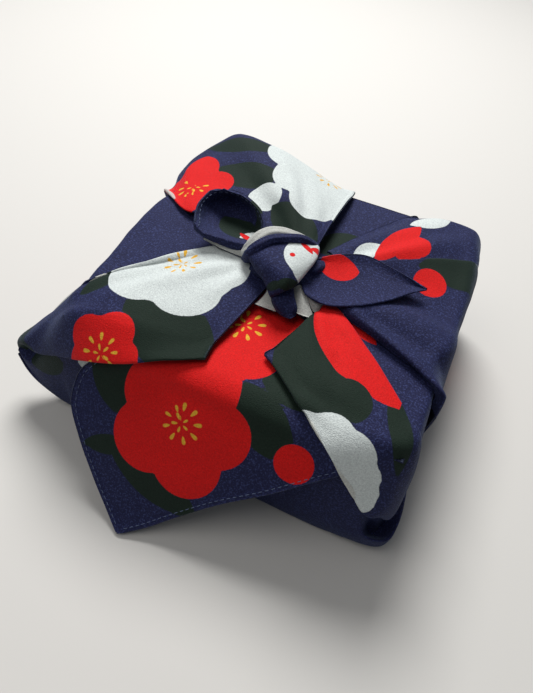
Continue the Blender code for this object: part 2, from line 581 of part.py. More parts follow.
def main():
    for thing in list(bpy.data.objects):
        bpy.data.objects.remove(thing)
    build_cloth()
    build_box()


main()
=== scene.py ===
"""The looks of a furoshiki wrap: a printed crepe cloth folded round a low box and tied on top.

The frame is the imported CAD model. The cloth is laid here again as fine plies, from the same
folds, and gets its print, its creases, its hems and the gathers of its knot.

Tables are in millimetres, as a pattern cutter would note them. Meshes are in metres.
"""

import math
from collections import namedtuple
from functools import partialmethod

import bpy
import numpy as np
from mathutils import Matrix, Vector


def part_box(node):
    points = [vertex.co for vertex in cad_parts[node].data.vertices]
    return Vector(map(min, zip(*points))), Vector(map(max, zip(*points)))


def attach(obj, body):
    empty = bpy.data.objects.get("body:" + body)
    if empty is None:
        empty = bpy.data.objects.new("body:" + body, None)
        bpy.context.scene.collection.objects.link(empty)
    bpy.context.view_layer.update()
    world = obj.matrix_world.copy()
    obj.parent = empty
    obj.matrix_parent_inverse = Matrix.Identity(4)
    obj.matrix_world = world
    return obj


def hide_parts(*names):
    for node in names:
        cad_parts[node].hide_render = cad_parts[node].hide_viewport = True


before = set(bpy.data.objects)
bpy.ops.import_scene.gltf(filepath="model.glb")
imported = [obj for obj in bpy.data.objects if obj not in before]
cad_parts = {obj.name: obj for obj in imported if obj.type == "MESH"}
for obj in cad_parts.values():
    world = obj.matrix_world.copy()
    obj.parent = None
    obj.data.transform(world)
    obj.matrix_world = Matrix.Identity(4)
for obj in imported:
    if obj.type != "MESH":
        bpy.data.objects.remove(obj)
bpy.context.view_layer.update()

MM = 0.001
BODY = "root"

# Driving sizes
BOX_LOW, BOX_HIGH = (np.array(corner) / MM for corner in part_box("box"))
BOX_X, BOX_Y, BOX_TOP = BOX_HIGH[0] - BOX_LOW[0], BOX_HIGH[1] - BOX_LOW[1], BOX_HIGH[2]
EDGE_GAP = 2.0
# How thick a ply is: in the CAD model, here, and in the hidden tucks
CAD_CLOTH, CLOTH, TUCK_CLOTH = 1.4, 0.9, 0.3
# A hem's width, how much thicker it makes the ply, and the width of its sloping side
HEM_WIDE, HEM_EXTRA, HEM_SLOPE = 4.2, 0.75, 0.8

# Heights of the middle of each ply that lies on the box
PLY_STEP = CAD_CLOTH + 0.6
SOUTH_PLY = BOX_TOP + 0.8 + CAD_CLOTH / 2
NORTH_PLY = SOUTH_PLY + PLY_STEP
BAND_PLY = NORTH_PLY + PLY_STEP
WALL_X = BOX_X / 2 + EDGE_GAP + CAD_CLOTH / 2
WALL_Y = BOX_Y / 2 + EDGE_GAP + CAD_CLOTH / 2
WEST_END, EAST_END = -WALL_X + 2, WALL_X - 2

# One fold of a band that runs from the knot over an edge of the box: the places that its
# middle line passes, and how far it stands up between the knot and the edge.
Fold = namedtuple("Fold", "name neck lift edge hang foot")
# One upright section through the south or north wall: where it stands, its foot, its belly, its
# lip, which is the box's edge in the middle and the rim of an ear at the ends, and its tuck.
Wall = namedtuple("Wall", "x foot_y foot_z belly_y belly_z lip_y lip_z tuck_y tuck_z")
# One row of a ply that lies on the box: its place, its height, its two ends and how far it bows up.
Row = namedtuple("Row", "y z west east crown")
# One section of a rope of gathered cloth in the knot: its middle and its two radii.
Coil = namedtuple("Coil", "x y z wide thick")
# A ring of stamens: how many there are, how far out, how large, and how far the ring is turned.
Ring = namedtuple("Ring", "count reach size lead")

SOUTH_WEST_BAND = [
    Fold("south hem", (-6, -31, 93), 0, (-13, -80, 88.9), (-12, -91.5, 88.6), (-13, -87, 86.7)),
    Fold("front fold", (-9, -28, 94), 1, (-27, -89, 90), (-28, -101, 88.4), (-28, -97, 86.4)),
    Fold("over the flap", (-13, -24, 95), 2, (-50, -93, 91.5), (-52, -109.5, 80.8), (-52, -105.5, 79.6)),
    Fold("flap's end", (-17, -20, 95), 3, (-74, -96, 91), (-78, -112.5, 72), (-77.5, -109, 70.6)),
    Fold("ear's root", (-20, -15, 96), 5, (-94, -97, 87), (-99, -110, 61), (-97, -106, 62)),
    Fold("ear's slit", (-23, -10, 96), 7, (-110, -95, 72), (-119, -107, 49), (-117, -103, 51)),
    Fold("ear's hollow", (-25, -7, 96), 8.5, (-118, -94, 66), (-134, -104, 47), (-133, -99, 43)),
    Fold("ear's tip", (-27, -4, 96), 9, (-122, -91, 63), (-144.5, -98, 37), (-138, -103, 21)),
    Fold("ear's back", (-29, -1, 95), 7.5, (-112, -84, 74), (-134, -88, 40), (-120, -96, 9)),
    Fold("ridge", (-30, 3, 95), 4, (-102, -74, 87), (-118, -76, 46), (-106, -84, 1.4)),
    Fold("ridge's turn", (-29.5, 1.5, 92), 0.5, (-101, -76, 84.5), (-116.5, -78, 46), (-105.5, -85, 1.4)),
]
WEST_SIDE = [
    Fold("under the ridge", (-29, -2, 91), 0, (-99.5, -81, 84), (-113, -84, 46), (-104.5, -88, 1.2)),
    Fold("below the ridge", (-29.5, 3, 91.5), -1, (-102, -66, 85.6), (-115.5, -70, 47), (-105, -76, 1.2)),
    Fold("west middle", (-29, 7, 92), -1, (-104, -43, 86.5), (-113, -45, 48), (-104, -47, 1.0)),
    Fold("west sag", (-27, 11, 91), -2, (-109, -11, 86), (-117, -11, 52), (-104, -11, 1.0)),
    Fold("west shoulder", (-24, 15, 91), -2, (-109.5, 22, 86.5), (-116, 22, 56), (-105, 22, 1.0)),
    Fold("under the fold", (-20, 18, 90), -1, (-105, 60, 86.5), (-110, 62, 54), (-105, 64, 1.0)),
    Fold("north west", (-16, 20, 90), 0, (-98, 90, 87), (-103, 95, 50), (-103, 97, 1.0)),
]
NORTH_WEST_BAND = [
    Fold("tucked under", (-25, 4, 92.5), 1, (-84, 20, 88.8), (-113, 38, 80.5), (-118, 48, 63)),
    Fold("south fold", (-24, 6, 94), 2, (-88, 15, 91.5), (-118, 36, 84), (-122.5, 47, 66)),
    Fold("red side", (-17, 16, 96), 4, (-117, 66, 88), (-128, 76, 54), (-115, 86, 12)),
    Fold("ear's tip", (-12, 18, 97), 6, (-114, 95, 90), (-138, 98, 46), (-124, 103, 14)),
    Fold("ear's hollow", (-8, 19, 97), 7, (-97, 110, 99), (-120, 108, 58), (-117, 104, 52)),
    Fold("puff", (-3, 20, 97), 7, (-70, 108, 99.5), (-82, 113, 70), (-82, 109, 74)),
    Fold("north fold", (2, 20, 96), 5, (-37, 103, 96), (-42, 110, 80), (-43, 107, 84)),
    Fold("north hem", (6, 18, 94), 3, (5, 92, 89.6), (4, 101, 87.6), (3, 97, 86.9)),
]
SOUTH_EAST_BAND = [
    Fold("south hem", (25, -42, 91), 0, (17, -67, 89), (14.5, -74, 88.6), (18, -72, 86.7)),
    Fold("front fold", (26, -41, 92), 0.5, (26.5, -73, 90), (23.5, -80, 88.6), (28, -78, 87.0)),
    Fold("over the hem", (27, -39, 93), 1, (47, -88, 90.5), (44, -96, 88.8), (48, -93, 87.2)),
    Fold("over the edge", (28, -37, 94), 2, (67, -96, 90), (63.5, -108.5, 82), (67, -104.5, 82.4)),
    Fold("white side", (29, -35, 94), 2, (83, -97, 89), (77.5, -112, 66), (81, -108.5, 69)),
    Fold("pocket's left", (29, -33, 94), 2, (93, -96, 87.5), (93, -112, 46), (94, -108, 49)),
    Fold("pocket's roof", (29, -31, 94), 2, (99, -92, 86.5), (100, -109, 47), (99, -103, 38)),
    Fold("pocket's right", (30, -28, 94), 2, (101.5, -87, 86.8), (105.5, -103, 41), (103.5, -99, 26)),
    Fold("right edge", (32.5, -22, 93), 1.5, (101.5, -82, 86.8), (107.5, -93, 46), (106, -93, 30)),
    Fold("edge's turn", (31, -23, 91.5), 0, (100.5, -83, 85.4), (106, -92, 46), (105, -92, 30)),
]
EAST_WALL = [
    Fold("under the band", (28, -30, 90.5), -1, (100.5, -91, 84.6), (103.8, -95, 40), (103.2, -94, 3)),
    Fold("corner", (29, -27, 90.5), -1, (101.5, -77, 85), (104.5, -86, 42), (103.6, -88, 1.4)),
    Fold("east wall", (29, -25, 90.5), -1, (101.5, -62, 85), (104.5, -68, 46), (103, -70, 1.0)),
    Fold("east middle", (28, -22, 91), -1, (101, -44, 85), (103.5, -47, 46), (103, -47, 1.0)),
    Fold("under the pleat", (27, -18, 90), -1, (101, 6, 85.2), (103.2, 7, 46), (103, 7, 1.0)),
]
EAST_SIDE = [
    Fold("tucked under", (24, -21, 92), 0, (88, -43.5, 88.6), (102, -51, 85), (104, -52, 74)),
    Fold("pleat", (24, -19, 94), 2, (90, -45, 92), (108, -54, 87), (108, -55, 70)),
    Fold("pleat's back", (25, -14, 95), 3, (101, -30, 91), (108, -36, 58), (105, -40, 20)),
    Fold("valley", (25, -8, 94), 0, (102, -4, 87), (106, -4, 50), (104.5, -4, 1.2)),
    Fold("below the ridge", (25, -2, 95), 1, (102, 32, 87.8), (107, 34, 50), (105, 36, 1.2)),
    Fold("ridge", (24, 4, 97), 4, (101, 60, 90), (107, 64, 52), (105, 68, 1.2)),
    Fold("ridge's turn", (24, 3, 94), 2, (101.5, 58.5, 87.4), (106, 63, 52), (104.5, 67, 1.2)),
]
NORTH_EAST_BAND = [
    Fold("under the ridge", (24, 0, 92.5), 0, (101, 52, 86.4), (105, 56, 52), (104.2, 60, 1.2)),
    Fold("beside the ridge", (23, 6, 95), 1, (100.5, 70, 87.2), (105.5, 76, 52), (104.5, 80, 1.2)),
    Fold("corner", (22, 9, 96), 3, (97.5, 87, 88), (106, 97, 52), (104.5, 98, 2)),
    Fold("ear", (20, 13, 95), 2, (92, 100, 88), (105, 106.5, 52), (101, 105, 22)),
    Fold("white tip", (17, 16, 94), 2, (72, 99, 90), (79, 108, 62), (79, 104.5, 65)),
    Fold("north hem", (14, 18, 93), 1, (44, 84, 88.6), (52, 99.5, 85.2), (53, 100, 82.5)),
]

SOUTH_WALL = [
    Wall(-141, -101, 30, -103, 33, -103.5, 36, -101.5, 38),
    Wall(-135, -103, 20, -105.5, 25, -105.5, 32, -99, 36),
    Wall(-127, -104, 12, -107, 21, -106, 33, -97, 40),
    Wall(-116, -104, 6, -107.5, 24, -105, 46, -98, 50),
    Wall(-105, -103, 1.0, -107, 24, -105, 56, -101, 66),
    Wall(-97, -104, 1.0, -108, 26, -103, 66, -WALL_Y, 80),
    Wall(-70, -106, 1.0, -108, 30, -101.5, 74, -WALL_Y + 1.6, SOUTH_PLY - 0.4),
    Wall(0, -106, 1.0, -109, 26, -101, 74, -WALL_Y + 1.6, SOUTH_PLY - 0.4),
    Wall(60, -106, 1.0, -110, 22, -101.5, 74, -WALL_Y + 1.6, SOUTH_PLY - 0.4),
    Wall(82, -105, 1.0, -110.5, 17, -104, 60, -WALL_Y, 79),
    Wall(90, -104, 1.0, -110, 12, -108.5, 30, -99.6, 76),
]
# The cup of cloth at the south-east corner, as sections that turn round the corner
SOUTH_EAST_CUP = [
    [(97, -103, 1), (97, -106.5, 4), (97, -109, 9), (97, -109.5, 20), (97, -101.5, 14), (97, -99.4, 64)],
    [(102, -101, 1.2), (103.5, -104.5, 4), (104.5, -107.5, 9), (104.5, -108, 18),
     (101, -100.5, 9), (100.5, -99, 56)],
    [(104, -98, 1.3), (107, -101, 4), (109, -104, 9), (109.5, -104, 18), (102.5, -99.5, 8),
     (101.5, -97.5, 52)],
    [(105, -94, 1.5), (109, -95.5, 4), (111, -97, 11), (111, -97, 22), (103.5, -96.5, 10),
     (102.4, -95, 52)],
    [(105, -89, 2), (108.5, -90, 5), (110.5, -91, 14), (110, -91, 32), (105.5, -92, 24),
     (103.6, -92, 52)],
    [(104.5, -84, 2), (107, -84.5, 6), (108.5, -85, 18), (108, -85, 42), (106.5, -86, 46),
     (105, -86, 52)],
    [(103.8, -78, 3), (104.6, -78, 8), (105, -78, 22), (104.8, -78, 44), (104.4, -78, 50),
     (104, -78, 56)],
]
NORTH_WALL = [
    Wall(-135, 100, 30, 102, 34, 102, 39, 100, 42),
    Wall(-127, 103, 16, 104, 26, 104, 42, 100, 47),
    Wall(-116, 103, 5, 104, 26, 103, 50, 100, 56),
    Wall(-104, 103, 1.0, 104, 28, 103, 60, 100, 72),
    Wall(-96, 103, 1.0, 104.5, 30, 102.5, 70, WALL_Y + 1.5, 84),
    Wall(-60, 103, 1.0, 104.5, 34, 101.5, 74, WALL_Y, NORTH_PLY - 0.6),
    Wall(0, 103, 1.0, 104.5, 36, 101, 76, WALL_Y - 0.5, NORTH_PLY - 0.6),
    Wall(60, 103, 1.0, 104.5, 34, 101, 76, WALL_Y - 0.5, NORTH_PLY - 0.6),
    Wall(92, 103, 1.0, 104.5, 28, 102, 66, WALL_Y, 83),
    Wall(98, 102, 1.0, 104.5, 24, 103, 52, 100, 68),
    Wall(103, 101, 4, 102.5, 22, 102, 44, 99, 50),
]
SOUTH_TOP = [
    Row(-WALL_Y, SOUTH_PLY, WEST_END, EAST_END, 0),
    Row(0, SOUTH_PLY, WEST_END, EAST_END, 0),
    Row(93, SOUTH_PLY + 0.4, WEST_END, EAST_END, 0),
    Row(WALL_Y - 1.2, SOUTH_PLY - 0.2, WEST_END, EAST_END, 0),
    Row(WALL_Y - 0.4, SOUTH_PLY - 4, -95, 95, 0),
    Row(WALL_Y - 0.4, 48, -62, 62, 0),
    Row(WALL_Y - 0.4, 18, -24, 24, 0),
]
NORTH_TOP = [
    Row(WALL_Y, NORTH_PLY - 0.5, WEST_END, WALL_X - 7, 0),
    Row(90, NORTH_PLY, WEST_END, EAST_END, 0),
    Row(30, NORTH_PLY, WEST_END, EAST_END, 0),
    Row(-40, NORTH_PLY, WEST_END, EAST_END, 0.2),
    Row(-78, NORTH_PLY, -88, 90, 0.3),
    Row(-93, NORTH_PLY, -72, 83, 0.3),
    Row(-103.5, 80.6, -66, 79, 0.5),
    Row(-108.5, 72.5, -71.5, 77, 1.0),
    Row(-115.5, 63, -78.5, 64, 1.5),
    Row(-125, 49, -79.5, 45, 2.0),
    Row(-136, 34, -69, 21, 2.0),
    Row(-147, 18.5, -54, 0, 1.5),
    Row(-156, 7.5, -40.5, -15, 0.8),
    Row(-163.5, 1.6, -29.5, -27.5, 0),
]

# The tails and the loose plies of the knot, each as lines of places that run along it, from
# its root to its end, the lines in order from one rim to the other.
NORTH_WEST_TAIL = [
    [(-26.5, -15, 100), (-35, -17.5, 100.5), (-45, -18, 101), (-54, -19, 103), (-61, -17, 105)],
    [(-24, -14, 104.5), (-34.5, -16, 105), (-44.5, -18, 105.5), (-54, -20, 107), (-61, -17.5, 109)],
    [(-27, -2.5, 99), (-38.5, -3, 98.5), (-51.5, -1.5, 99), (-61.5, -2.5, 103), (-65, -9.5, 110)],
    [(-26.5, 2, 99.5), (-40, 13, 97), (-53.5, 18, 98), (-64.5, 16, 104), (-67.5, -0.5, 112)],
    [(-25, 2, 103), (-34.5, 13.5, 103), (-46, 21.5, 105), (-57, 20.5, 109), (-67, 12, 113)],
    [(-23, 1, 107), (-26.5, 6, 110), (-33.5, 12, 113), (-47, 17, 115), (-59, 16, 115)],
]
EAST_TAIL = [
    [(13, -21.5, 97), (21, -26, 95.5), (31, -23.5, 95), (47, -16, 94.5), (61, -3.5, 94.5),
     (71, 7.5, 95), (77, 11.5, 96)],
    [(11.5, -23.5, 101), (20.5, -32.5, 100), (31, -33, 99), (46, -25, 98.5), (61, -11, 98),
     (71.5, 3, 97.5), (78.5, 10.5, 97)],
    [(13, -17.5, 100), (21, -22, 98), (31, -21, 97), (44, -13.5, 96.5), (59, -3, 96.5),
     (70.5, 6.5, 96.5), (78.5, 11, 96.8)],
    [(14, -12, 101), (22, -10.5, 99), (32, -7, 97.5), (43.5, 0, 96.5), (57.5, 5, 96.5),
     (69.5, 10, 96.5), (78.5, 11.5, 96.8)],
    [(14, -6, 102), (23, -0.5, 101), (32, 6, 99.5), (43, 10.5, 98.5), (57, 11, 98),
     (69.5, 11.5, 97.5), (78.5, 11.5, 97)],
    [(14, -4.5, 104), (20.5, 2.5, 104), (29, 10.5, 103), (39.5, 16, 102), (54, 14.5, 101),
     (68, 12.5, 99.5), (78.5, 11, 97.5)],
]
KNOT_PLIES = {
    "drop": [
        [(-21.5, -10.5, 99), (-19.5, -18, 100), (-13.5, -25, 98), (-6.5, -29.5, 96),
         (0, -34, 94), (1.5, -29.5, 92)],
        [(-22.5, -13, 104), (-21.5, -23.5, 106), (-13, -31, 104), (-5.5, -35.5, 102),
         (2, -42.5, 99.5), (2.5, -35.5, 96)],
        [(-19, -9.5, 107), (-16, -21, 111), (-7, -31, 111), (0.5, -37.5, 108),
         (5.5, -42.5, 103), (4, -34.5, 98)],
        [(-10, 1.5, 108), (-5.5, -12, 113.5), (0.5, -26, 114), (7, -37, 111.5),
         (9, -40.5, 105.5), (6.5, -33, 100)],
        [(-2, 7, 107), (3, -4.5, 112.5), (7.5, -19.5, 113.5), (10, -31, 111),
         (10.5, -38, 105.5), (7.5, -31, 100)],
        [(6.5, 10, 104), (12, 0, 109), (15, -13.5, 110), (14, -25, 108), (11.5, -35.5, 104.5),
         (8.5, -28.5, 99)],
        [(8, 11, 100), (12.5, 2.5, 104), (13.5, -11, 105), (12, -21.5, 103), (10.5, -32.5, 101),
         (8, -27, 97)],
    ],
    "heel": [
        [(-1, -34.5, 99), (1, -39.5, 97.5), (4, -42.5, 94), (7.5, -44, 91.5)],
        [(1, -34.5, 101), (4, -42, 99.5), (8.5, -46, 96), (12, -46.5, 92.5)],
        [(4.5, -32, 102), (8, -39.5, 100.5), (12.5, -44, 96.5), (16, -46, 92)],
        [(8, -27.5, 101), (12.5, -35.5, 99.5), (17, -40.5, 95.5), (17.5, -42, 91.5)],
        [(8, -25, 98), (12.5, -33.5, 96.5), (16.5, -39.5, 93), (17, -41.5, 90.5)],
    ],
    "pale_strip": [
        [(5, -24.5, 99), (9.5, -29.5, 97), (13.5, -34, 95), (17.5, -40.5, 92)],
        [(9, -25, 101), (12.5, -27.5, 99.5), (17.5, -34, 97), (23, -41, 92.5)],
        [(12, -22, 100), (16, -27, 98), (22.5, -34.5, 95.5), (28.5, -39.5, 91.5)],
    ],
    "pale_end": [
        [(14, -24, 100.5), (18, -29, 97), (22, -32.5, 94.5), (25.5, -35, 91.5)],
        [(17, -27.5, 99.5), (22, -31, 97), (26.5, -32.5, 94.5), (28, -32.5, 92)],
        [(19.5, -26, 97), (26, -28.5, 95.5), (29.5, -28, 94), (30, -28.5, 92)],
    ],
    "pale_bit": [
        [(12.5, -19, 103), (13.5, -15, 104), (13.5, -8, 104), (12.5, 0, 102)],
        [(15, -16.5, 101), (17.5, -13.5, 103), (18, -8.5, 103.5), (17, -1, 102)],
        [(16.5, -14, 97), (19, -10, 99), (20, -4.5, 100), (18.5, 1.5, 99)],
    ],
    "pale_corner": [
        [(-7.5, -29.5, 97), (-3.5, -35, 95), (-5.5, -42, 91.5), (-6.5, -44, 90.5)],
        [(-2.5, -33, 97), (-0.5, -36.5, 94.5), (0, -42.5, 91.5), (-1, -44, 90.5)],
        [(1, -34, 97), (4, -38.5, 94), (6, -43, 91.5), (6.5, -43.5, 90.5)],
    ],
    "pale_slip": [
        [(-56.5, -15, 98), (-45, -17.5, 98), (-34, -18.5, 98), (-23, -19, 98)],
        [(-55, -15.5, 101), (-44.5, -16, 101), (-34, -16.5, 101), (-24.5, -15, 101)],
    ],
}
KNOT_ROPES = {
    "heart": [
        Coil(-18, -14, 94, 10, 8),
        Coil(-6, -16, 98, 14, 11),
        Coil(6, -18, 97, 12, 10),
        Coil(14, -22, 93, 8, 7),
    ],
    "pale_wrap": [
        Coil(-25.5, -18, 100, 4.5, 4),
        Coil(-23, -16.5, 105, 5, 4.5),
        Coil(-20.5, -11.5, 109, 5, 4.5),
        Coil(-16.5, -6.5, 111, 5, 4.5),
        Coil(-10.5, -3.5, 111.5, 4.5, 4.5),
        Coil(-3.5, -0.5, 110, 4, 4),
        Coil(2.5, 4, 105, 4, 4),
        Coil(7.5, 7, 99, 4, 4),
    ],
    "crest": [
        Coil(-24, -20.5, 100, 3.4, 3.2),
        Coil(-20.5, -22.5, 107, 3.6, 3.6),
        Coil(-17, -20.5, 111.5, 3.6, 3.6),
        Coil(-12.5, -15.5, 114, 3.4, 3.4),
        Coil(-5, -11, 115.3, 3, 3.2),
        Coil(3, -5.5, 114.3, 2.8, 3),
        Coil(8, -2, 110.5, 2.4, 2.8),
        Coil(10, 2, 105, 2.4, 2.8),
    ],
}

# The creases and soft ridges pressed into each ply: from where, to where, how high and how wide.
# A negative height is a valley.
CREASES = {
    "south_west_band": [
        ((-96, -88, 88), (-58, -97, 86), -1.8, 7),
        ((-104, -84, 84), (-66, -92, 88), 1.6, 4),
        ((-28, -12, 96), (-70, -40, 92), 1.4, 5),
        ((-24, -22, 96), (-48, -58, 92), -1.2, 5),
        ((-20, -28, 96), (-34, -64, 92), 1.2, 4),
    ],
    "west_side": [
        ((-31, 5, 92), (-80, -8, 90), -1.6, 7),
        ((-30, 12, 91), (-86, 14, 90), 1.4, 8),
    ],
    "south_east_band": [
        ((44, -93, 89), (98, -104, 70), 3.0, 3.5),
        ((56, -88, 91), (99, -96, 80), -2.2, 6),
        ((52, -100, 86), (90, -110, 56), -1.8, 5),
        ((49, -64, 94), (60, -84, 92), -1.6, 3.5),
        ((31, -40, 94), (44, -66, 93), 1.2, 4),
        ((36, -34, 93), (78, -62, 91), 1.4, 5),
    ],
    "east_side": [
        ((30, -19, 94), (104, -50, 89), 2.4, 4),
        ((58, -26, 94.5), (120, -37, 86), -5.5, 7),
        ((58, -12, 94), (120, -14, 88), 4.0, 10),
        ((26, -5, 95), (88, -4, 91), 1.4, 5),
        ((25, 1, 96), (76, 22, 94), -1.2, 5),
    ],
    "north_east_band": [
        ((21, 10, 96), (60, 52, 94), -1.4, 5),
        ((18, 14, 95), (46, 64, 93), 1.2, 4),
    ],
    "north_west_band": [
        ((-20, 15, 95), (-70, 32, 95), -1.5, 6),
        ((-15, 18, 97), (-72, 66, 99), -2.2, 7),
        ((-9, 20, 98), (-52, 92, 102), 1.6, 7),
        ((-5, 21, 98), (-34, 84, 102), -2.0, 5),
        ((1, 21, 97), (-14, 70, 98), 1.4, 5),
    ],
}

RED, WHITE, GREEN = range(3)
# The prints of each ply: their shape, their middle, their size, how they are turned and their ink.
# A later one lies over an earlier one.
PRINTS = {
    "north_top": [
        ("leaf", (-20, -139, 32), (34, 12), -18, GREEN),
        ("leaf", (-50, -134, 37), (17, 6), 20, GREEN),
        ("leaf", (-54, -113, 67), (25, 14), -42, GREEN),
        ("leaf", (29, -107, 77), (25, 13), -33, GREEN),
        ("leaf", (34, -88, 85), (19, 8), -16, GREEN),
        ("flower", (-6, -57, 85), 39, -56, RED),
        ("flower", (-12, -117, 62), 42, -66, RED),
        ("dot", (51, -114, 66), 10.5, 0, RED),
        ("leaf", (15, 40, 85), (17, 12), 60, GREEN),
    ],
    "south_west_band": [
        ("leaf", (-91, -70, 89), (16, 6), 64, GREEN),
        ("leaf", (-38, -86, 92), (33, 21), -20, GREEN),
        ("dot", (-57, -39, 92), 36, 0, WHITE),
        ("flower", (-57, -39, 92), 43, -53, WHITE),
        ("flower", (-66, -108, 79), 24, 150, RED),
        ("leaf", (-136, -100, 36), (20, 10), 60, GREEN),
    ],
    "west_side": [
        ("flower", (-112, 6, 44), 30, 0, RED),
        ("leaf", (-112, 42, 30), (28, 12), 60, GREEN),
        ("dot", (-112, -42, 40), 11, 60, WHITE),
    ],
    "north_west_band": [
        ("leaf", (-84, 92, 103), (34, 9), 5, GREEN),
        ("leaf", (-66, 60, 100), (32, 13), 5, GREEN),
        ("flower", (-95, 38, 93), 28, 108, RED),
        ("leaf", (-100, 60, 91), (20, 13), 108, RED),
        ("dot", (-86, 20, 92), 9, 0, RED),
        ("dot", (-42, 43, 100), 12, 0, WHITE),
        ("leaf", (-15, 28, 99), (22, 12), -25, GREEN),
        ("flower", (-14, 96, 98), 50, -112, WHITE),
        ("dot", (-11, 52, 102), 17, 0, WHITE),
        ("dot", (3, 60, 97), 13, 0, WHITE),
        ("leaf", (-124, 70, 44), (15, 8), 70, GREEN),
    ],
    "north_east_band": [
        ("leaf", (64, 86, 92), (17, 7), 46, WHITE),
        ("leaf", (37, 31, 95), (13, 6.5), 56, WHITE),
        ("leaf", (51, 50, 94), (28, 8), 72, RED),
        ("dot", (61, 53, 94), 10.5, 0, RED),
        ("dot", (58, 44, 94), 9.5, 0, RED),
        ("leaf", (100, 88, 60), (24, 10), 40, GREEN),
    ],
    "east_side": [
        ("leaf", (98, 46, 90), (34, 15), 24, GREEN),
        ("dot", (79, 24, 92), 10.5, 0, RED),
        ("leaf", (106, 2, 40), (30, 13), 80, GREEN),
        ("flower", (107, 50, 32), 26, 0, RED),
    ],
    "south_east_band": [
        ("leaf", (44, -68, 94), (40, 26), -60, GREEN),
        ("leaf", (92, -86, 88), (23, 6), -62, GREEN),
        ("leaf", (57, -49, 92), (41, 20), -40, RED),
        ("dot", (64, -84, 92), 12.5, 0, GREEN),
        ("dot", (49, -102, 84), 7.5, 0, WHITE),
        ("dot", (63, -104, 84), 13, 0, WHITE),
        ("dot", (74, -107, 79), 14.5, 0, WHITE),
        ("dot", (81, -110, 70), 13, 0, WHITE),
        ("dot", (84, -111, 61), 11.5, 0, WHITE),
        ("dot", (87, -112, 55), 8, 0, WHITE),
    ],
    "east_wall": [
        ("leaf", (50, -28, 90), (18, 6), -30, RED),
    ],
    "south_wall": [
        ("leaf", (-116, -106, 42), (17, 11), 28, GREEN),
        ("dot", (-82.5, -104, 58), 7.5, 0, WHITE),
    ],
    "north_wall": [
        ("flower", (-30, 103, 40), 30, 10, RED),
        ("leaf", (10, 103, 30), (30, 14), -20, GREEN),
        ("dot", (52, 103, 46), 11, 0, RED),
    ],
    "north_west_tail": [
        ("leaf", (-43, 4, 98), (15, 11), 150, GREEN),
        ("leaf", (-33, 10, 108), (16, 5), 125, GREEN),
        ("leaf", (-34, 0.5, 98), (6, 3.5), 60, WHITE),
        ("leaf", (-34, -1.5, 98.5), (7, 2.2), 150, RED),
    ],
    "east_tail": [
        ("leaf", (27, -1, 100), (13, 9), 20, RED),
    ],
    "drop": [
        ("dot", (14, -16, 110), 16.5, 0, WHITE),
        ("leaf", (8, -9, 113), (6, 2), -25, RED),
        ("leaf", (14, -6, 110), (5, 2.6), -70, RED),
        ("dot", (4, -21, 114), 1.6, 0, RED),
        ("leaf", (6, -38, 106), (11, 3.5), 30, GREEN),
    ],
}

# Petals of a flower, as shares of its radius: where their middles are and how large they are
PETAL_OUT, PETAL_WIDE = 0.52, 0.48
PETAL_SHARES = (1.0, 0.94, 1.05, 0.97, 1.03)
FLOWER_HEART = 0.6
STAMEN_RINGS = (Ring(5, 4.0, 1.0, 0.4), Ring(9, 8.6, 1.1, 0.1))
# How far from its outline a print's depth is noted, and how far from a flower's middle stamens may lie
PRINT_REACH = 9.0
STAMEN_REACH = 15.0

# Where a band's two places between the knot and the edge are, and how much of its lift the far one has
NEAR_SHARE, FAR_SHARE, FAR_LIFT = 0.35, 0.86, 0.8
# How far a wall's foot rounds outward and upward before its belly
HEEL_OUT, HEEL_UP = 3.5, 3
# The distance between a ply's points: where it shows, where it is hidden, in the tails and in the knot
FINE, COARSE, TAIL_FINE, KNOT_FINE = 2.85, 7.0, 1.0, 0.8
# How steep a curve may run past its neighbours, and how its places are shared out: 1 is by length
SLOPE_LIMIT, SLOPE_FREE, STEP_POWER = 2.2, 0.25, 0.6
# Where along a crease it is highest, over what share of it the height dies out, and the height
# there before it is held to 1
CREASE_PEAK, CREASE_FADE, CREASE_FULL = 0.35, 0.65, 1.15
# The height of the faint unevenness of the walls, the loose corner, the bands and the knot, and
# the distance from a ply's end at which it begins
WALL_RIPPLE, FLAP_RIPPLE, BAND_RIPPLE, KNOT_RIPPLE = 0.12, 0.10, 0.35, 0.15
CALM_END = 5
# The tucks behind a wall: how many, how far apart, how near the box, and the part of the wall they have
TUCKS, TUCK_GAP, TUCK_CLEAR = 3, 1.3, 0.7
TUCK_ACROSS, TUCK_UP = slice(4, -4), slice(2, -3)
# The ply under the box: its points, its reach, the height of a foot that stands on the floor, and
# how far the ply runs past the feet of the walls and of the sides
FLOOR_COLUMNS, FLOOR_ROWS, FLOOR_REACH = 27, 25, 104
STANDING, WALL_LAP, SIDE_LAP = 1.4, 1.0, 0.6
STITCH_SIDES = 6

# The two finishes of a piece of cloth
FACE_SIDE, BACK_SIDE = 0, 1

# Colours of the ground, the inks and the back of the cloth
NAVY = (0.0180, 0.0220, 0.0800)
NAVY_DEEP = (0.0100, 0.0115, 0.0420)
# the colour of the lighter blue specks strewn on the navy: painted glints of the crepe's pebbles
NAVY_GLINT_PAINTED = (0.045, 0.060, 0.165)
LEAF_GREEN = (0.0095, 0.0200, 0.0135)
CAMELLIA = (0.640, 0.0080, 0.0075)
PETAL_WHITE = (0.600, 0.650, 0.645)
STAMEN = (0.720, 0.400, 0.035)
REVERSE = (0.520, 0.530, 0.500)
# what the cloth's colour is multiplied by: painted shade in the hollows of the crepe's pebbles and
# painted light on their tops
PAINTED_PEBBLE_SHADE, PAINTED_PEBBLE_LIGHT = (0.66, 0.66, 0.68), (1.20, 1.20, 1.18)


